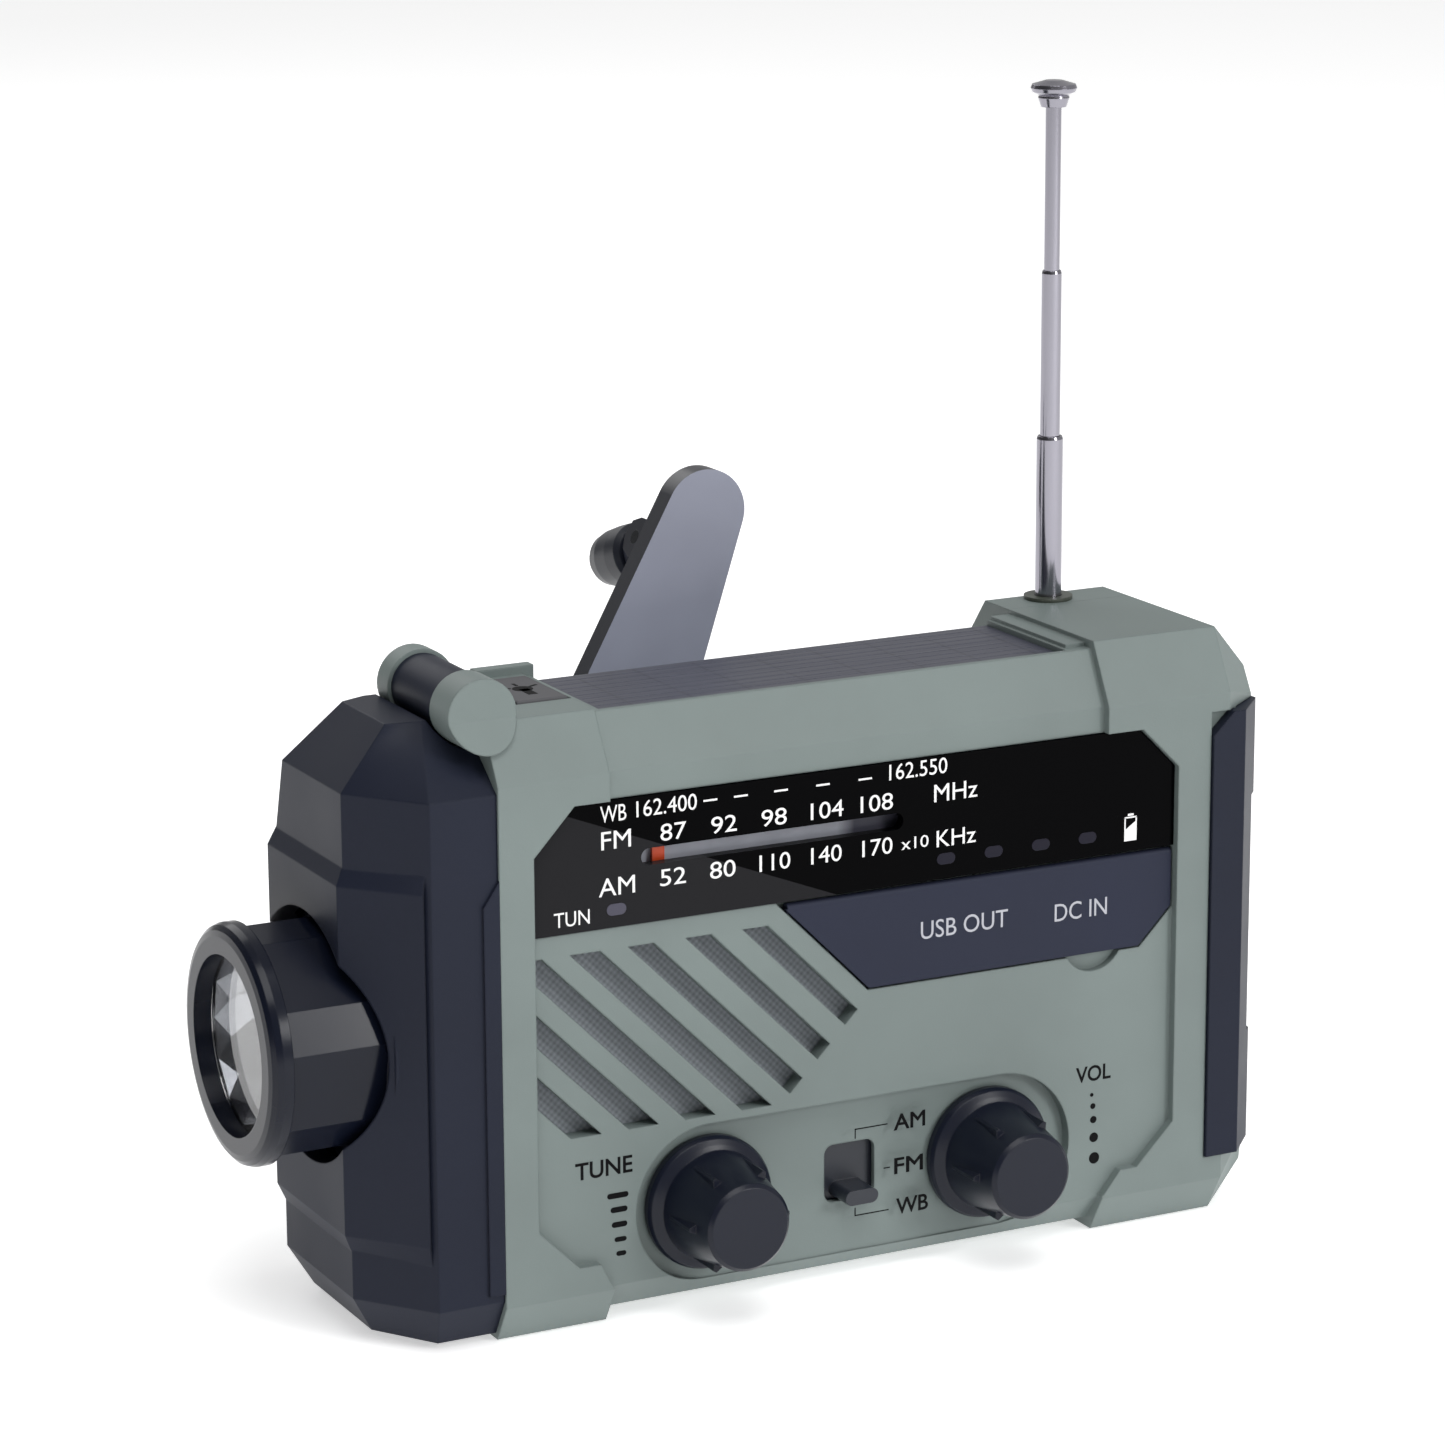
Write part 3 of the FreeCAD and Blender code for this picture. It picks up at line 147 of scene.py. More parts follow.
def metal(name, code, rough, along=(1.0, 1.0, 1.0), deep=0.001, round_mm=0.12):
    """Bare or plated metal, with a grain drawn out along one axis."""
    item, tree, shader = new_material(name)
    drawn = add_node(tree, "ShaderNodeVectorMath", {"operation": "DIVIDE"}, {1: along},
                     {0: millimetres(tree)}).outputs[0]
    grain = noise(tree, drawn, 0.35)
    shader.inputs["Base Color"].default_value = linear(code)
    shader.inputs["Metallic"].default_value = 1.0
    tree.links.new(remap(tree, grain, 0.3, 0.7, rough * 0.8, rough * 1.3), shader.inputs["Roughness"])
    relief(tree, shader, grain, deep, round_mm)
    return item


# ---------------------------------------------------------------- finishes
def arm_with_painted_sheen():
    """Navy ABS with its two broad faces painted a pale satin grey as a painted reflection of the lamps, its
    edges left dark.
    """
    item = moulded("navy_abs_arm_painted_sheen", "#8d90a0", 0.34, 0.25, 0.006, 0.05, 0.1)
    tree = item.node_tree
    shader = tree.nodes["Principled BSDF"]
    pale = shader.inputs["Base Color"].links[0].from_socket
    turned = add_node(tree, "ShaderNodeTexCoord").outputs["Normal"]
    across = add_node(tree, "ShaderNodeSeparateXYZ", None, None, {0: turned}).outputs["Y"]
    square = add_node(tree, "ShaderNodeMath", {"operation": "ABSOLUTE"}, None, {0: across}).outputs[0]
    broad = remap(tree, square, 0.9, 0.99, 0.0, 1.0)
    # the broad faces get the pale painted reflection colour, and the edges keep the dark navy
    tree.links.new(mix(tree, broad, linear("#1d1f28"), pale), shader.inputs["Base Color"])
    return item


def two_smokes():
    """Smoked light plugs, the tuning light's left of centre a paler smoke than the charge lights'."""
    item = moulded("smoked_polycarbonate", "#201f2a", 0.3, 0.5, 0.002, 0.1, gloss=0.1)
    tree = item.node_tree
    shader = tree.nodes["Principled BSDF"]
    dark = shader.inputs["Base Color"].links[0].from_socket
    across = add_node(tree, "ShaderNodeSeparateXYZ", None, None, {0: millimetres(tree)}).outputs["X"]
    left = add_node(tree, "ShaderNodeMath", {"operation": "LESS_THAN"}, {1: 0.0}, {0: across}).outputs[0]
    tree.links.new(mix(tree, left, dark, linear("#4f4e5a")), shader.inputs["Base Color"])
    return item


def window_acrylic():
    """Back-printed black acrylic, polished, with a dark grey field printed at its lower left."""
    item, tree, shader = new_material("back_printed_acrylic")
    split = add_node(tree, "ShaderNodeSeparateXYZ", None, None, {0: millimetres(tree)})
    # the field's upper edge slants down to the right across the window
    edge = add_node(tree, "ShaderNodeMath", {"operation": "MULTIPLY_ADD"}, {1: -0.3995, 2: 52.46},
                    {0: split.outputs["X"]})
    under = add_node(tree, "ShaderNodeMath", {"operation": "LESS_THAN"}, None,
                     {0: split.outputs["Z"], 1: edge.outputs[0]})
    colour = mix(tree, under.outputs[0], linear("#020203"), linear("#252527"))
    tree.links.new(colour, shader.inputs["Base Color"])
    shader.inputs["Roughness"].default_value = 0.2
    shader.inputs["Specular IOR Level"].default_value = 0.03
    return item


def dial_card():
    """Grey card behind the pointer slot, in shadow towards its right end."""
    item, tree, shader = new_material("dial_card")
    where = millimetres(tree)
    split = add_node(tree, "ShaderNodeSeparateXYZ", None, None, {0: where})
    ends = remap(tree, split.outputs["X"], 1.5, 4.0, 0.0, 1.0)
    mottle = mix(tree, noise(tree, where, 3.0), linear("#a4a7b2"), linear("#bcbfca"))
    tree.links.new(mix(tree, ends, mottle, linear("#41414f")), shader.inputs["Base Color"])
    shader.inputs["Roughness"].default_value = 0.45
    return item


def solar_resin():
    """Satin resin over the cells: slate with faint darker cell joints and lengthwise streaks."""
    item, tree, shader = new_material("solar_resin_over_cells")
    where = millimetres(tree)
    split = add_node(tree, "ShaderNodeSeparateXYZ", None, None, {0: where})
    # eight cells, 8.4 mm apart
    phase = add_node(tree, "ShaderNodeMath", {"operation": "MULTIPLY"}, {1: 1 / 8.4},
                     {0: split.outputs["X"]})
    inside = add_node(tree, "ShaderNodeMath", {"operation": "PINGPONG"}, {1: 0.5}, {0: phase.outputs[0]})
    joint = add_node(tree, "ShaderNodeMath", {"operation": "LESS_THAN"}, {1: 0.022}, {0: inside.outputs[0]})
    streaky = add_node(tree, "ShaderNodeVectorMath", {"operation": "DIVIDE"}, {1: (26.0, 0.7, 1.0)},
                       {0: where})
    streak = noise(tree, streaky.outputs[0], 1.0)
    body = mix(tree, streak, linear("#333543"), linear("#414351"))
    tree.links.new(mix(tree, joint.outputs[0], body, linear("#2c2e3c")), shader.inputs["Base Color"])
    tree.links.new(remap(tree, streak, 0.3, 0.7, 0.34, 0.48), shader.inputs["Roughness"])
    relief(tree, shader, streak, 0.008)
    return item


def silicon_cell():
    """Dark blue silicon with fine pale fingers across it, 1.2 mm apart."""
    item, tree, shader = new_material("silicon_cell")
    split = add_node(tree, "ShaderNodeSeparateXYZ", None, None, {0: millimetres(tree)})
    phase = add_node(tree, "ShaderNodeMath", {"operation": "MULTIPLY"}, {1: 1 / 1.2},
                     {0: split.outputs["Y"]})
    inside = add_node(tree, "ShaderNodeMath", {"operation": "PINGPONG"}, {1: 0.5}, {0: phase.outputs[0]})
    finger = add_node(tree, "ShaderNodeMath", {"operation": "LESS_THAN"}, {1: 0.05}, {0: inside.outputs[0]})
    colour = mix(tree, finger.outputs[0], linear("#262a3e"), linear("#8f929c"))
    tree.links.new(colour, shader.inputs["Base Color"])
    shader.inputs["Roughness"].default_value = 0.25
    return item


def speaker_cloth():
    """Woven grille cloth: threads 0.5 mm apart both ways."""
    item, tree, shader = new_material("woven_grille_cloth")
    split = add_node(tree, "ShaderNodeSeparateXYZ", None, None, {0: millimetres(tree)})
    waves = []
    for axis in ("X", "Z"):
        turn = add_node(tree, "ShaderNodeMath", {"operation": "MULTIPLY"}, {1: math.pi / 0.5},
                        {0: split.outputs[axis]})
        wave = add_node(tree, "ShaderNodeMath", {"operation": "SINE"}, None, {0: turn.outputs[0]})
        waves.append(wave.outputs[0])
    weave = add_node(tree, "ShaderNodeMath", {"operation": "MULTIPLY"}, None, {0: waves[0], 1: waves[1]})
    height = remap(tree, weave.outputs[0], -1.0, 1.0, 0.0, 1.0)
    tree.links.new(mix(tree, height, linear("#6d7277"), linear("#888d92")), shader.inputs["Base Color"])
    shader.inputs["Roughness"].default_value = 0.85
    relief(tree, shader, height, 0.08)
    return item


def clear_plastic(name, code, rough=0.03):
    """Clear moulded polycarbonate."""
    item, tree, shader = new_material(name)
    shader.inputs["Base Color"].default_value = linear(code)
    shader.inputs["Transmission Weight"].default_value = 1.0
    shader.inputs["IOR"].default_value = 1.45
    where = millimetres(tree)
    tree.links.new(remap(tree, noise(tree, where, 6.0), 0.3, 0.7, rough * 0.6, rough * 1.4),
                   shader.inputs["Roughness"])
    return item


def circuit_board():
    """Green solder mask with copper tracks showing through as lighter lines."""
    item, tree, shader = new_material("solder_mask")
    where = millimetres(tree)
    cells = add_node(tree, "ShaderNodeTexVoronoi", {"feature": "DISTANCE_TO_EDGE", "distance": "MANHATTAN"},
                     {"Scale": 0.35}, {"Vector": where})
    track = remap(tree, cells.outputs[0], 0.04, 0.07, 1.0, 0.0)
    tree.links.new(mix(tree, track, linear("#17402c"), linear("#2f6a48")), shader.inputs["Base Color"])
    shader.inputs["Roughness"].default_value = 0.3
    return item


def flat_ink(name, code, rough):
    """Pad-printed ink: an opaque film with a faintly uneven tone."""
    item, tree, shader = new_material(name)
    where = millimetres(tree)
    base = linear(code)
    tree.links.new(mix(tree, noise(tree, where, 0.8), shade(base, 0.92), base), shader.inputs["Base Color"])
    shader.inputs["Roughness"].default_value = rough
    # matt, so that it hardly mirrors the lamps
    shader.inputs["Specular IOR Level"].default_value = 0.1
    return item


# ABS, moulded with a fine spark grain: matt grey-green case halves
SAGE = moulded("moulded_abs_sage", "#737e7c", 0.5, 0.22, 0.014, gloss=0.4)
# ABS, moulded: satin navy-grey end housing, bumper, strap bar and crank clevis
NAVY = moulded("moulded_abs_navy", "#1e2230", 0.45, 0.25, 0.012, gloss=0.16)
# ABS, moulded smoother: control knobs with soft highlights
KNOB = moulded("moulded_abs_knob", "#121624", 0.3, 0.3, 0.006, 0.25, gloss=0.3)
# ABS from a polished mould: torch head with clear highlights on its flats
TORCH = moulded("polished_abs_torch", "#0f1320", 0.2, 0.5, 0.002, 0.2, gloss=0.26)
# thermoplastic rubber, moulded: matt, slightly blue port cover
RUBBER = moulded("moulded_tpe_cover", "#25293a", 0.55, 0.2, 0.012, 0.2, gloss=0.2)
# thermoplastic rubber, moulded: soft grey push button
BUTTON = moulded("moulded_tpe_button", "#57575a", 0.6, 0.2, 0.012, 0.2, gloss=0.25)
# nylon, moulded: unpainted black parts inside
BLACK = moulded("moulded_nylon_black", "#15161a", 0.45)
# ABS, moulded: olive ring where the antenna enters the case
COLLAR = moulded("moulded_abs_collar", "#454a41", 0.45, 0.25, 0.008)
# ABS, moulded: dark lever of the band switch
LEVER = moulded("moulded_abs_lever", "#22262f", 0.34, 0.3, 0.006, 0.2)
# the crank arm: a dark moulding, its broad faces painted pale satin as a painted reflection
ARM = arm_with_painted_sheen()
# ABS, moulded: the crank's dark folding knob, with a soft sheen
GRIP = moulded("moulded_abs_grip", "#20232c", 0.35, 0.25, 0.008, 0.3, gloss=0.4)
# acetal, moulded: cream, slightly waxy gears
ACETAL = moulded("moulded_acetal", "#d8d5c8", 0.4, 0.3, 0.004, 0.05)
# ABS, moulded: bright orange dial pointer
ORANGE = moulded("moulded_abs_orange", "#d0430a", 0.38, 0.3, 0.004, 0.05)
# smoked light pipes in the window
SMOKE = two_smokes()
# paper pulp, pressed: fibrous black cone, with no gloss
PAPER = moulded("pressed_cone_paper", "#1b1b1d", 0.9, 0.6, 0.06)
# ferrite, sintered and ground: dull charcoal magnet and rod
FERRITE = moulded("ground_ferrite", "#2c2b2b", 0.6, 0.3, 0.02)
# PVC film, shrunk on: glossy blue sleeve of the battery
SLEEVE = moulded("pvc_shrink_sleeve", "#3b5f8f", 0.3, 0.6, 0.004)
# epoxy, cast: pale clear body of the lamp
LED = moulded("clear_led_epoxy", "#e8e6d0", 0.15, 0.6, 0.002)
# brass, drawn and chrome plated: bright antenna tubes, their grain along the tube
CHROME = metal("chrome_plated_brass", "#97959e", 0.13, (1.0, 1.0, 30.0))
# steel, pressed and zinc plated: grey satin screws, sockets and cans
STEEL = metal("zinc_plated_steel", "#a4a6ab", 0.3)
# steel, blackened: the crank's fold pin
BLACKED = metal("blackened_steel", "#2b2c30", 0.4)
# brass, turned: warm satin pinion
BRASS = metal("turned_brass", "#b08d4a", 0.28)
# ABS with aluminium laid on in a vacuum: the torch's mirror
MIRROR = metal("vacuum_metallised_abs", "#9c9da1", 0.12, (1.0, 1.0, 1.0), 0.0, 0.0)
# copper ribbon, solder dipped: dulled by the smoked resin around it
RIBBON = metal("tinned_copper_ribbon", "#5b5e6c", 0.45)
# polycarbonate, moulded clear: the torch lens
LENS = clear_plastic("clear_polycarbonate", "#fbfcfd")
# acrylic, back printed: the deep black display window
ACRYLIC = window_acrylic()
# pad-printed inks: white on the window, black on the panel, pale grey on the cover
WHITE_INK = flat_ink("white_ink", "#f2f2f2", 0.5)
BLACK_INK = flat_ink("black_ink", "#08080a", 0.6)
PALE_INK = flat_ink("pale_grey_ink", "#b9bac2", 0.5)

SLOT_FINISH = {
    "case_green": SAGE, "case_dark": NAVY, "knob_dark": KNOB, "torch_dark": TORCH, "window_black": ACRYLIC,
    "pointer_orange": ORANGE, "dial_grey": dial_card(), "cover_rubber": RUBBER, "button_grey": BUTTON,
    "indicator_smoke": SMOKE, "chrome_tube": CHROME, "steel": STEEL, "clear_lens": LENS,
    "reflector_silver": MIRROR, "led_body": LED, "board_green": circuit_board(),
    "solar_blue": silicon_cell(), "solar_resin": solar_resin(), "speaker_cloth": speaker_cloth(),
    "paper_cone": PAPER, "magnet_black": FERRITE, "socket_steel": STEEL, "cell_wrap": SLEEVE,
    "gear_white": ACETAL, "brass_gear": BRASS, "can_steel": STEEL, "ferrite": FERRITE, "switch_black": BLACK,
}
# every CAD part takes the finish of its record slot
for part in frame["record"]["subparts"]:
    shown = NODES[part["node"]]
    shown.data.materials.clear()
    shown.data.materials.append(SLOT_FINISH[part["material_slot"]])
# five of them have a finish of their own
for name, finish in (("band_lever", LEVER), ("crank_arm", ARM), ("crank_knob", GRIP), ("fold_pin", BLACKED),
                     ("antenna_collar", COLLAR)):
    NODES[name].data.materials[0] = finish


# ---------------------------------------------------------------- mesh helpers
def piece(name, shape, finish, body):
    """A finished piece from a bmesh in metres, riding on a body."""
    mesh = bpy.data.meshes.new(name)
    shape.to_mesh(mesh)
    shape.free()
    mesh.materials.append(finish)
    item = bpy.data.objects.new(name, mesh)
    bpy.context.scene.collection.objects.link(item)
    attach(item, body)
    return item


def prism(shape, corners, near, far, place):
    """Adds a straight prism: corners in the plane, near and far along its normal, place gives 3-D points."""
    rings = []
    for depth in (near, far):
        rings.append([shape.verts.new(place(a, b, depth)) for a, b in corners])
    shape.faces.new(rings[0])
    shape.faces.new(list(reversed(rings[1])))
    count = len(corners)
    for i in range(count):
        shape.faces.new((rings[0][(i + 1) % count], rings[0][i], rings[1][i], rings[1][(i + 1) % count]))


def on_front(x, z, y):
    """A point on an upright plane, from millimetres."""
    return Vector((x, y, z)) * MM


def on_top(x, y, z):
    """A point on a level plane, from millimetres."""
    return Vector((x, y, z)) * MM


def pill(x, z, wide, tall, steps=8):
    """Corners of a bar with round ends."""
    radius = tall / 2
    corners = []
    for side, start in ((1, -90), (-1, 90)):
        for i in range(steps + 1):
            turn = math.radians(start + 180 * i / steps)
            end = x + side * (wide / 2 - radius)
            corners.append((end + radius * math.cos(turn), z + radius * math.sin(turn)))
    return corners


def disc(x, z, radius, steps=24):
    """Corners of a round dot."""
    return [(x + radius * math.cos(2 * math.pi * i / steps), z + radius * math.sin(2 * math.pi * i / steps))
            for i in range(steps)]


def stroke(x0, z0, x1, z1, wide):
    """Corners of a straight line of ink."""
    run = Vector((x1 - x0, z1 - z0)).normalized() * wide / 2
    side = Vector((-run.y, run.x))
    return [(x0 - run.x - side.x, z0 - run.y - side.y), (x1 + run.x - side.x, z1 + run.y - side.y),
            (x1 + run.x + side.x, z1 + run.y + side.y), (x0 - run.x + side.x, z0 - run.y + side.y)]


def lettering(shape, words, left, right, low, tall, face, bold=0.0):
    """Adds flat letters between left and right, standing on low, tall high, on the plane y = face."""
    curve = bpy.data.curves.new("letters", "FONT")
    curve.body = words
    curve.extrude = 0.1
    curve.bevel_depth = bold
    curve.bevel_resolution = 0
    curve.resolution_u = 4
    holder = bpy.data.objects.new("letters", curve)
    bpy.context.scene.collection.objects.link(holder)
    bpy.context.view_layer.update()
    mesh = bpy.data.meshes.new_from_object(holder)
    bpy.data.objects.remove(holder)
    xs = [v.co.x for v in mesh.vertices]
    ys = [v.co.y for v in mesh.vertices]
    wide = (right - left) / (max(xs) - min(xs))
    high = tall / (max(ys) - min(ys))
    for v in mesh.vertices:
        x = left + (v.co.x - min(xs)) * wide
        z = low + (v.co.y - min(ys)) * high
        v.co = Vector((x, face - INK_PROUD if v.co.z > 0 else face + INK_SUNK, z)) * MM
    shape.from_mesh(mesh)
    bpy.data.meshes.remove(mesh)


def ink(shape, corners, face):
    """Adds a film of ink with the given corners on the plane y = face."""
    prism(shape, corners, face - INK_PROUD, face + INK_SUNK, on_front)


# ---------------------------------------------------------------- printing
# front faces that carry print, in millimetres
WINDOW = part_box("display_window")[0].y / MM
PANEL = -20.0
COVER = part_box("port_cover")[0].y / MM


def print_window():
    """White scales, names and the battery mark on the display window."""
    shape = bmesh.new()
    for words, left, right, middle, tall in (
            ("WB", -33.3, -29.7, 67.2, 2.1), ("162.400", -28.3, -19.9, 67.3, 2.1),
            ("162.550", 7.6, 16.1, 67.6, 2.1), ("FM", -33.2, -29.1, 63.8, 2.3),
            ("AM", -33.6, -28.6, 57.8, 2.3), ("x10", 9.4, 13.4, 57.9, 1.6),
            ("MHz", 14.2, 20.6, 64.0, 2.3), ("KHz", 14.6, 20.4, 57.9, 2.2),
            ("TUN", -39.8, -34.9, 54.4, 1.9)):
        lettering(shape, words, left, right, middle - tall / 2, tall, WINDOW)
    for words, middle in (("87", -23.2), ("92", -16.1), ("98", -9.0), ("104", -1.4), ("108", 5.8)):
        half = 1.8 if len(words) == 2 else 2.35
        lettering(shape, words, middle - half, middle + half, 62.75, 2.2, WINDOW)
    for words, middle in (("52", -23.3), ("80", -16.3), ("110", -8.9), ("140", -1.5), ("170", 5.9)):
        half = 1.8 if len(words) == 2 else 2.2
        lettering(shape, words, middle - half, middle + half, 56.9, 2.2, WINDOW)
    for middle in (-18.0, -13.7, -8.0, -2.0, 4.1):
        ink(shape, stroke(middle - 0.85, 67.2, middle + 0.85, 67.2, 0.25), WINDOW)
    # battery mark: an outline, a cap and a charge level cut on the slant
    x, z = 43.9, 55.7
    for side in (-1, 1):
        ink(shape, stroke(x + side * 0.85, z - 1.7, x + side * 0.85, z + 1.3, 0.2), WINDOW)
    ink(shape, stroke(x - 0.85, z + 1.4, x + 0.85, z + 1.4, 0.2), WINDOW)
    ink(shape, stroke(x - 0.3, z + 1.75, x + 0.3, z + 1.75, 0.3), WINDOW)
    ink(shape, [(x - 0.9, z - 1.8), (x + 0.9, z - 1.8), (x + 0.9, z + 0.9), (x - 0.9, z - 0.3)],
        WINDOW - 0.005)
    piece("window_print", shape, WHITE_INK, "case")


def print_panel():
    """Black names, bars and dots beside the controls."""
    shape = bmesh.new()
    for words, left, right, low, tall in (
            ("TUNE", -37.2, -29.2, 19.9, 2.3), ("VOL", 36.2, 41.6, 21.4, 2.2), ("AM", 8.6, 13.3, 19.3, 2.2),
            ("FM", 8.7, 13.0, 13.3, 2.2), ("WB", 9.0, 13.8, 7.7, 2.2)):
        lettering(shape, words, left, right, low, tall, PANEL, 0.016)
    for z, wide, high in ((17.1, 3.0, 0.75), (15.2, 2.4, 0.75), (13.2, 2.2, 0.75), (11.2, 1.7, 0.65),
                          (9.3, 1.4, 0.65)):
        ink(shape, pill(-31.3 + (3.0 - wide) * 0.25, z, wide, high), PANEL)
    for x, z, radius in ((38.7, 19.5, 0.27), (38.9, 17.9, 0.4), (39.0, 16.0, 0.5), (39.1, 13.5, 0.67),
                         (39.2, 10.6, 0.8)):
        ink(shape, disc(x, z, radius), PANEL)
    # thin leaders from the switch window to its three names
    for x0, z0, x1, z1 in ((2.9, 19.2, 2.9, 20.4), (2.9, 20.4, 7.6, 20.4), (7.2, 14.4, 8.0, 14.4),
                           (2.9, 9.6, 2.9, 8.6), (2.9, 8.6, 7.8, 8.6)):
        ink(shape, stroke(x0, z0, x1, z1, 0.16), PANEL)
    piece("panel_print", shape, BLACK_INK, "case")


def print_cover():
    """Grey socket names on the port cover."""
    shape = bmesh.new()
    lettering(shape, "USB OUT", 12.4, 25.4, 44.7, 2.4, COVER)
    lettering(shape, "DC IN", 32.5, 40.5, 44.3, 2.4, COVER)
    piece("cover_print", shape, PALE_INK, "cover")


def print_button():
    """A small lamp mark on the torch button."""
    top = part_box("lamp_button")[1].z / MM
    x, y = -36.2, -4.2
    shape = bmesh.new()
    # the lamp's bowl and stem, and three short rays
    for corners in (disc(x, y, 1.35), stroke(x, y - 2.6, x, y - 0.8, 1.3),
                    stroke(x - 2.3, y + 1.2, x - 1.5, y + 0.8, 0.45), stroke(x, y + 2.8, x, y + 1.9, 0.45),
                    stroke(x + 2.3, y + 1.2, x + 1.5, y + 0.8, 0.45)):
        prism(shape, corners, top + INK_PROUD, top - INK_SUNK, on_top)
    piece("button_print", shape, BLACK_INK, "button")


print_window()
print_panel()
print_cover()
print_button()


# ---------------------------------------------------------------- torch reflector
def facet_reflector():
    """Metallised bowl with flat facets, in place of the plain one."""
    low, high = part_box("torch_reflector")
    axis_z = (low.z + high.z) / 2 / MM
    rim_x = low.x / MM + 0.1
    deep = 11.2
    count = 14
    shape = bmesh.new()
    rings = []
    # share of the depth, radius
    profile = [(0.0, 11.9), (0.16, 11.0), (0.38, 9.4), (0.62, 7.4), (0.82, 5.3), (0.94, 3.4), (1.0, 2.8)]
    for wall in (0.0, 0.45):
        for level, (part, radius) in enumerate(profile):
            x = rim_x + part * deep + (wall if level else 0.0)
            ring = []
            for i in range(count):
                turn = 2 * math.pi * (i + 0.5 * (level % 2)) / count
                reach = radius + wall
                point = Vector((x, reach * math.cos(turn), axis_z + reach * math.sin(turn)))
                ring.append(shape.verts.new(point * MM))
            rings.append(ring)
    last = len(profile)
    for side in (0, 1):
        for level in range(last - 1):
            a = rings[side * last + level]
            b = rings[side * last + level + 1]
            skew = level % 2
            for i in range(count):
                j = (i + 1) % count
                if skew:
                    shape.faces.new((a[i], a[j], b[j]))
                    shape.faces.new((a[i], b[j], b[i]))
                else:
                    shape.faces.new((a[i], a[j], b[i]))
                    shape.faces.new((a[j], b[j], b[i]))
    for level in (0, last - 1):
        a = rings[level]
        b = rings[last + level]
        for i in range(count):
            j = (i + 1) % count
            shape.faces.new((a[i], a[j], b[j], b[i]))
    bmesh.ops.recalc_face_normals(shape, faces=shape.faces)
    item = piece("facet_reflector", shape, MIRROR, "case")
    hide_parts("torch_reflector")


facet_reflector()


# ---------------------------------------------------------------- solar cell ribbons
def ribbon_tree(finish):
    """Node tree: a row of thin metal ribbons, their count, spacing and size as inputs."""
    tree = bpy.data.node_groups.new("cell_ribbons", "GeometryNodeTree")
    tree.interface.new_socket("Geometry", in_out="OUTPUT", socket_type="NodeSocketGeometry")
    for name, kind in (("Count", "NodeSocketInt"), ("Start", "NodeSocketVector"),
                       ("Step", "NodeSocketVector"), ("Size", "NodeSocketVector")):
        tree.interface.new_socket(name, in_out="INPUT", socket_type=kind)
    given = add_node(tree, "NodeGroupInput")
    row = add_node(tree, "GeometryNodeMeshLine", None, None,
                   {"Count": given.outputs["Count"], "Start Location": given.outputs["Start"],
                    "Offset": given.outputs["Step"]})
    ribbon = add_node(tree, "GeometryNodeMeshCube", None, None, {"Size": given.outputs["Size"]})
    placed = add_node(tree, "GeometryNodeInstanceOnPoints", None, None,
                      {"Points": row.outputs[0], "Instance": ribbon.outputs[0]})
    real = add_node(tree, "GeometryNodeRealizeInstances", None, None, {0: placed.outputs[0]})
    done = add_node(tree, "GeometryNodeSetMaterial", None, {"Material": finish},
                    {"Geometry": real.outputs[0]})
    add_node(tree, "NodeGroupOutput", None, None, {0: done.outputs[0]})
    return tree


def cell_ribbons():
    """Fine tinned ribbons along the solar cell, just proud of its smoked resin."""
    low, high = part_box("solar_cover")
    tree = ribbon_tree(RIBBON)
    holder = bpy.data.objects.new("holder", bpy.data.meshes.new("holder"))
    bpy.context.scene.collection.objects.link(holder)
    change = holder.modifiers.new("ribbons", "NODES")
    change.node_group = tree
    count = 9
    spacing = (high.y - low.y) / (count + 1)
    values = {"Count": count,
              "Start": Vector(((low.x + high.x) / 2, low.y + spacing, high.z)),
              "Step": Vector((0, spacing, 0)),
              "Size": Vector((high.x - low.x - 3 * MM, 0.16 * MM, 0.03 * MM))}
    for entry in tree.interface.items_tree:
        if entry.in_out == "INPUT":
            change[entry.identifier] = values[entry.name]
    bpy.context.view_layer.update()
    mesh = bpy.data.meshes.new_from_object(holder.evaluated_get(bpy.context.evaluated_depsgraph_get()))
    bpy.data.objects.remove(holder)
    item = bpy.data.objects.new("cell_ribbons", mesh)
    bpy.context.scene.collection.objects.link(item)
    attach(item, "case")


cell_ribbons()


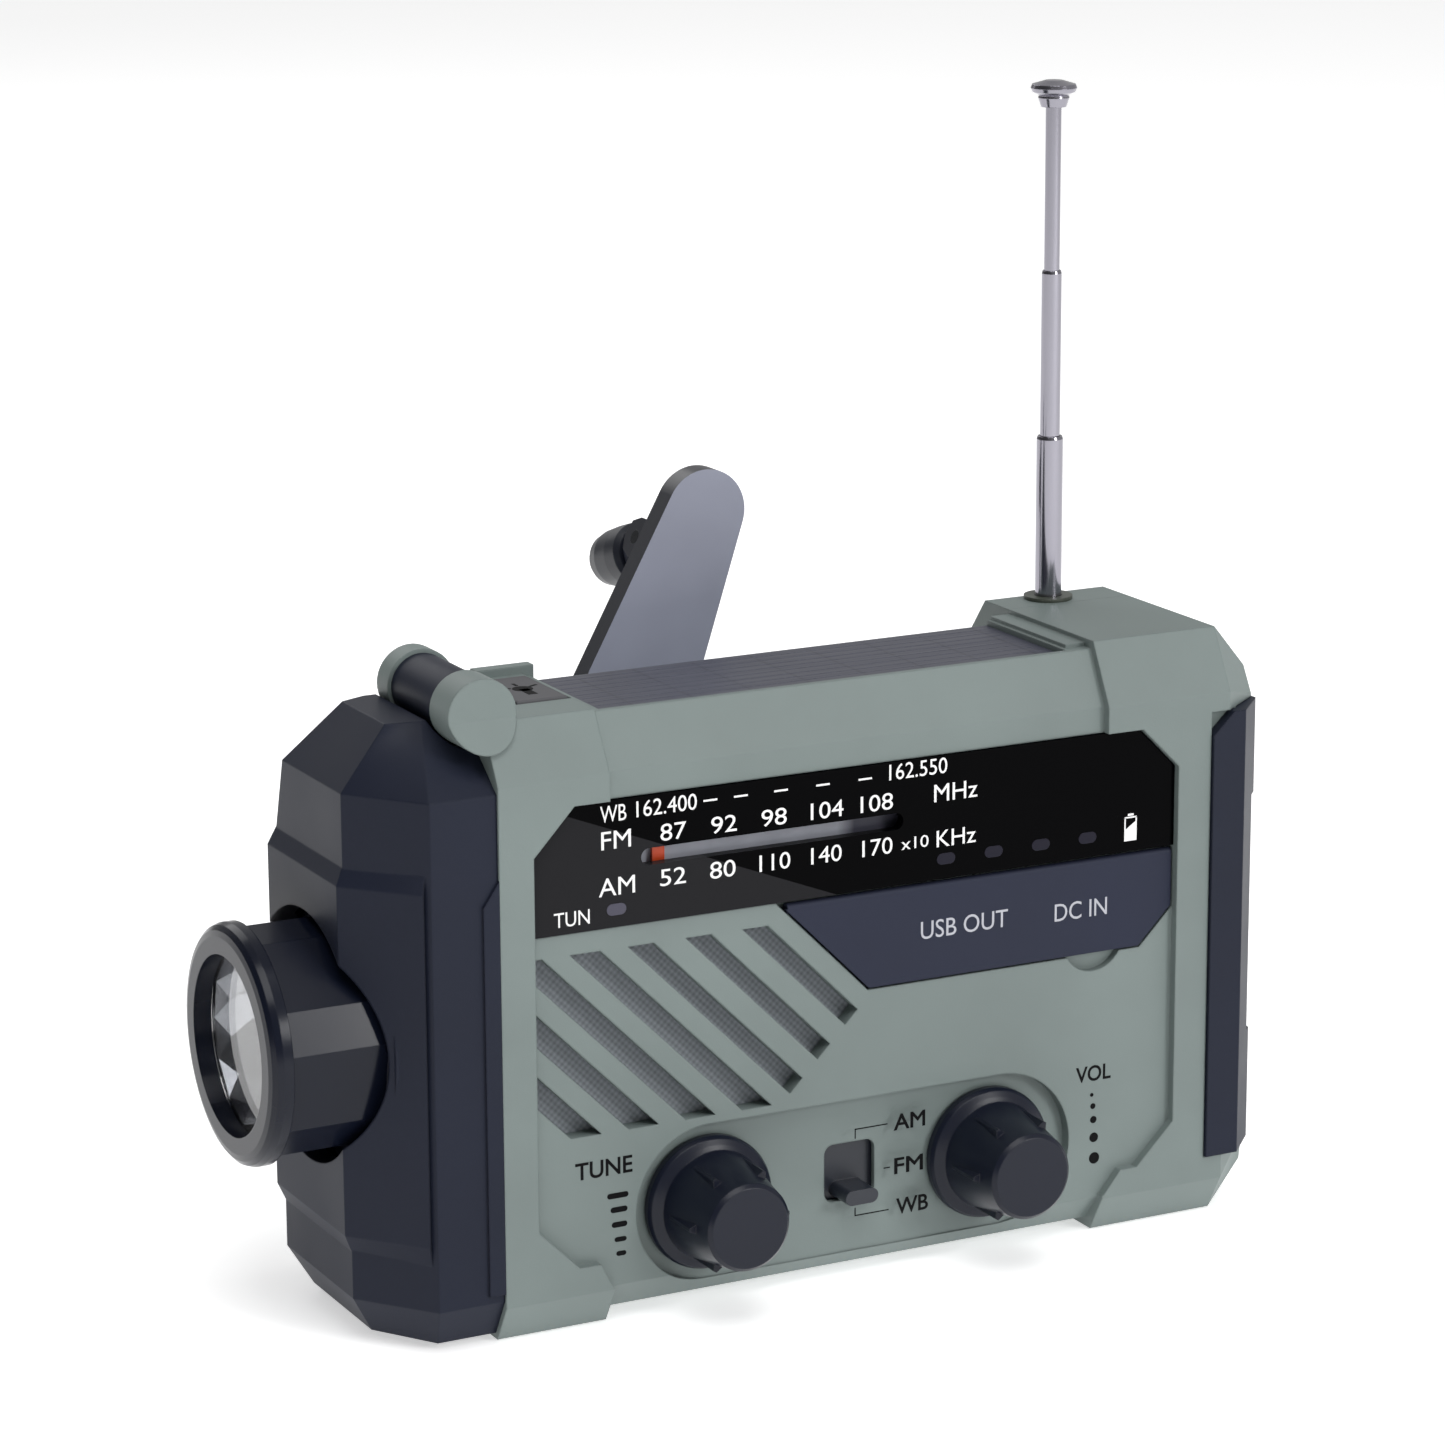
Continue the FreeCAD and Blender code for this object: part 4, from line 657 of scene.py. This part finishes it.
# ---------------------------------------------------------------- floor, light and camera
def studio():
    """Plain pale floor and large soft lights."""
    shape = bmesh.new()
    bmesh.ops.create_grid(shape, x_segments=1, y_segments=1, size=12.0)
    mesh = bpy.data.meshes.new("floor")
    shape.to_mesh(mesh)
    shape.free()
    paper, _, shader = new_material("pale_paper")
    shader.inputs["Base Color"].default_value = linear("#fafafa")
    shader.inputs["Roughness"].default_value = 0.9
    shader.inputs["Specular IOR Level"].default_value = 0.1
    # lit through from below, so that it stays even to its far edge
    shader.inputs["Emission Color"].default_value = (1.0, 1.0, 1.0, 1.0)
    shader.inputs["Emission Strength"].default_value = 0.52
    mesh.materials.append(paper)
    floor = bpy.data.objects.new("floor", mesh)
    floor.location.z = -0.0002
    bpy.context.scene.collection.objects.link(floor)
    world = bpy.data.worlds.new("studio")
    world.use_nodes = True
    sky = world.node_tree
    # darker to the left, so that the radio's left end falls into shade
    coords = add_node(sky, "ShaderNodeTexCoord")
    split = add_node(sky, "ShaderNodeSeparateXYZ", None, None, {0: coords.outputs["Generated"]})
    level = remap(sky, split.outputs["X"], -0.8, 0.5, 0.1, 0.52)
    sky.links.new(level, sky.nodes["Background"].inputs["Strength"])
    sky.nodes["Background"].inputs["Color"].default_value = (1.0, 1.0, 1.0, 1.0)
    bpy.context.scene.world = world
    centre = Vector((0.0, 0.0, 0.05))
    for name, place, size, power in (("key_light", (0.55, -1.05, 0.55), 0.35, 5.0),
                                     ("top_light", (-0.15, -0.5, 1.3), 0.9, 9.0),
                                     ("back_light", (-0.1, 1.0, 0.8), 0.8, 3.0)):
        lamp = bpy.data.lights.new(name, "AREA")
        lamp.size = size
        lamp.energy = power
        item = bpy.data.objects.new(name, lamp)
        item.location = place
        item.rotation_euler = (centre - Vector(place)).to_track_quat("-Z", "Y").to_euler()
        bpy.context.scene.collection.objects.link(item)
    bpy.context.scene.view_settings.view_transform = "Standard"


def camera():
    """Camera a little above and to the left of the front."""
    turn, rise, roll = math.radians(-27.0678), math.radians(13.9346), math.radians(-0.3027)
    back = Vector((math.sin(turn) * math.cos(rise), -math.cos(turn) * math.cos(rise), math.sin(rise)))
    flat = Vector((math.cos(turn), math.sin(turn), 0.0))
    up = back.cross(flat)
    right = flat * math.cos(roll) + up * math.sin(roll)
    tall = up * math.cos(roll) - flat * math.sin(roll)
    data = bpy.data.cameras.new("camera")
    data.sensor_width = 36.0
    data.lens = 118.55
    data.clip_start = 0.01
    item = bpy.data.objects.new("camera", data)
    place = Matrix((right, tall, back)).transposed().to_4x4()
    place.translation = Vector((-0.27845, -0.53343, 0.21997))
    item.matrix_world = place
    bpy.context.scene.collection.objects.link(item)
    bpy.context.scene.camera = item


studio()
camera()
bpy.context.view_layer.update()
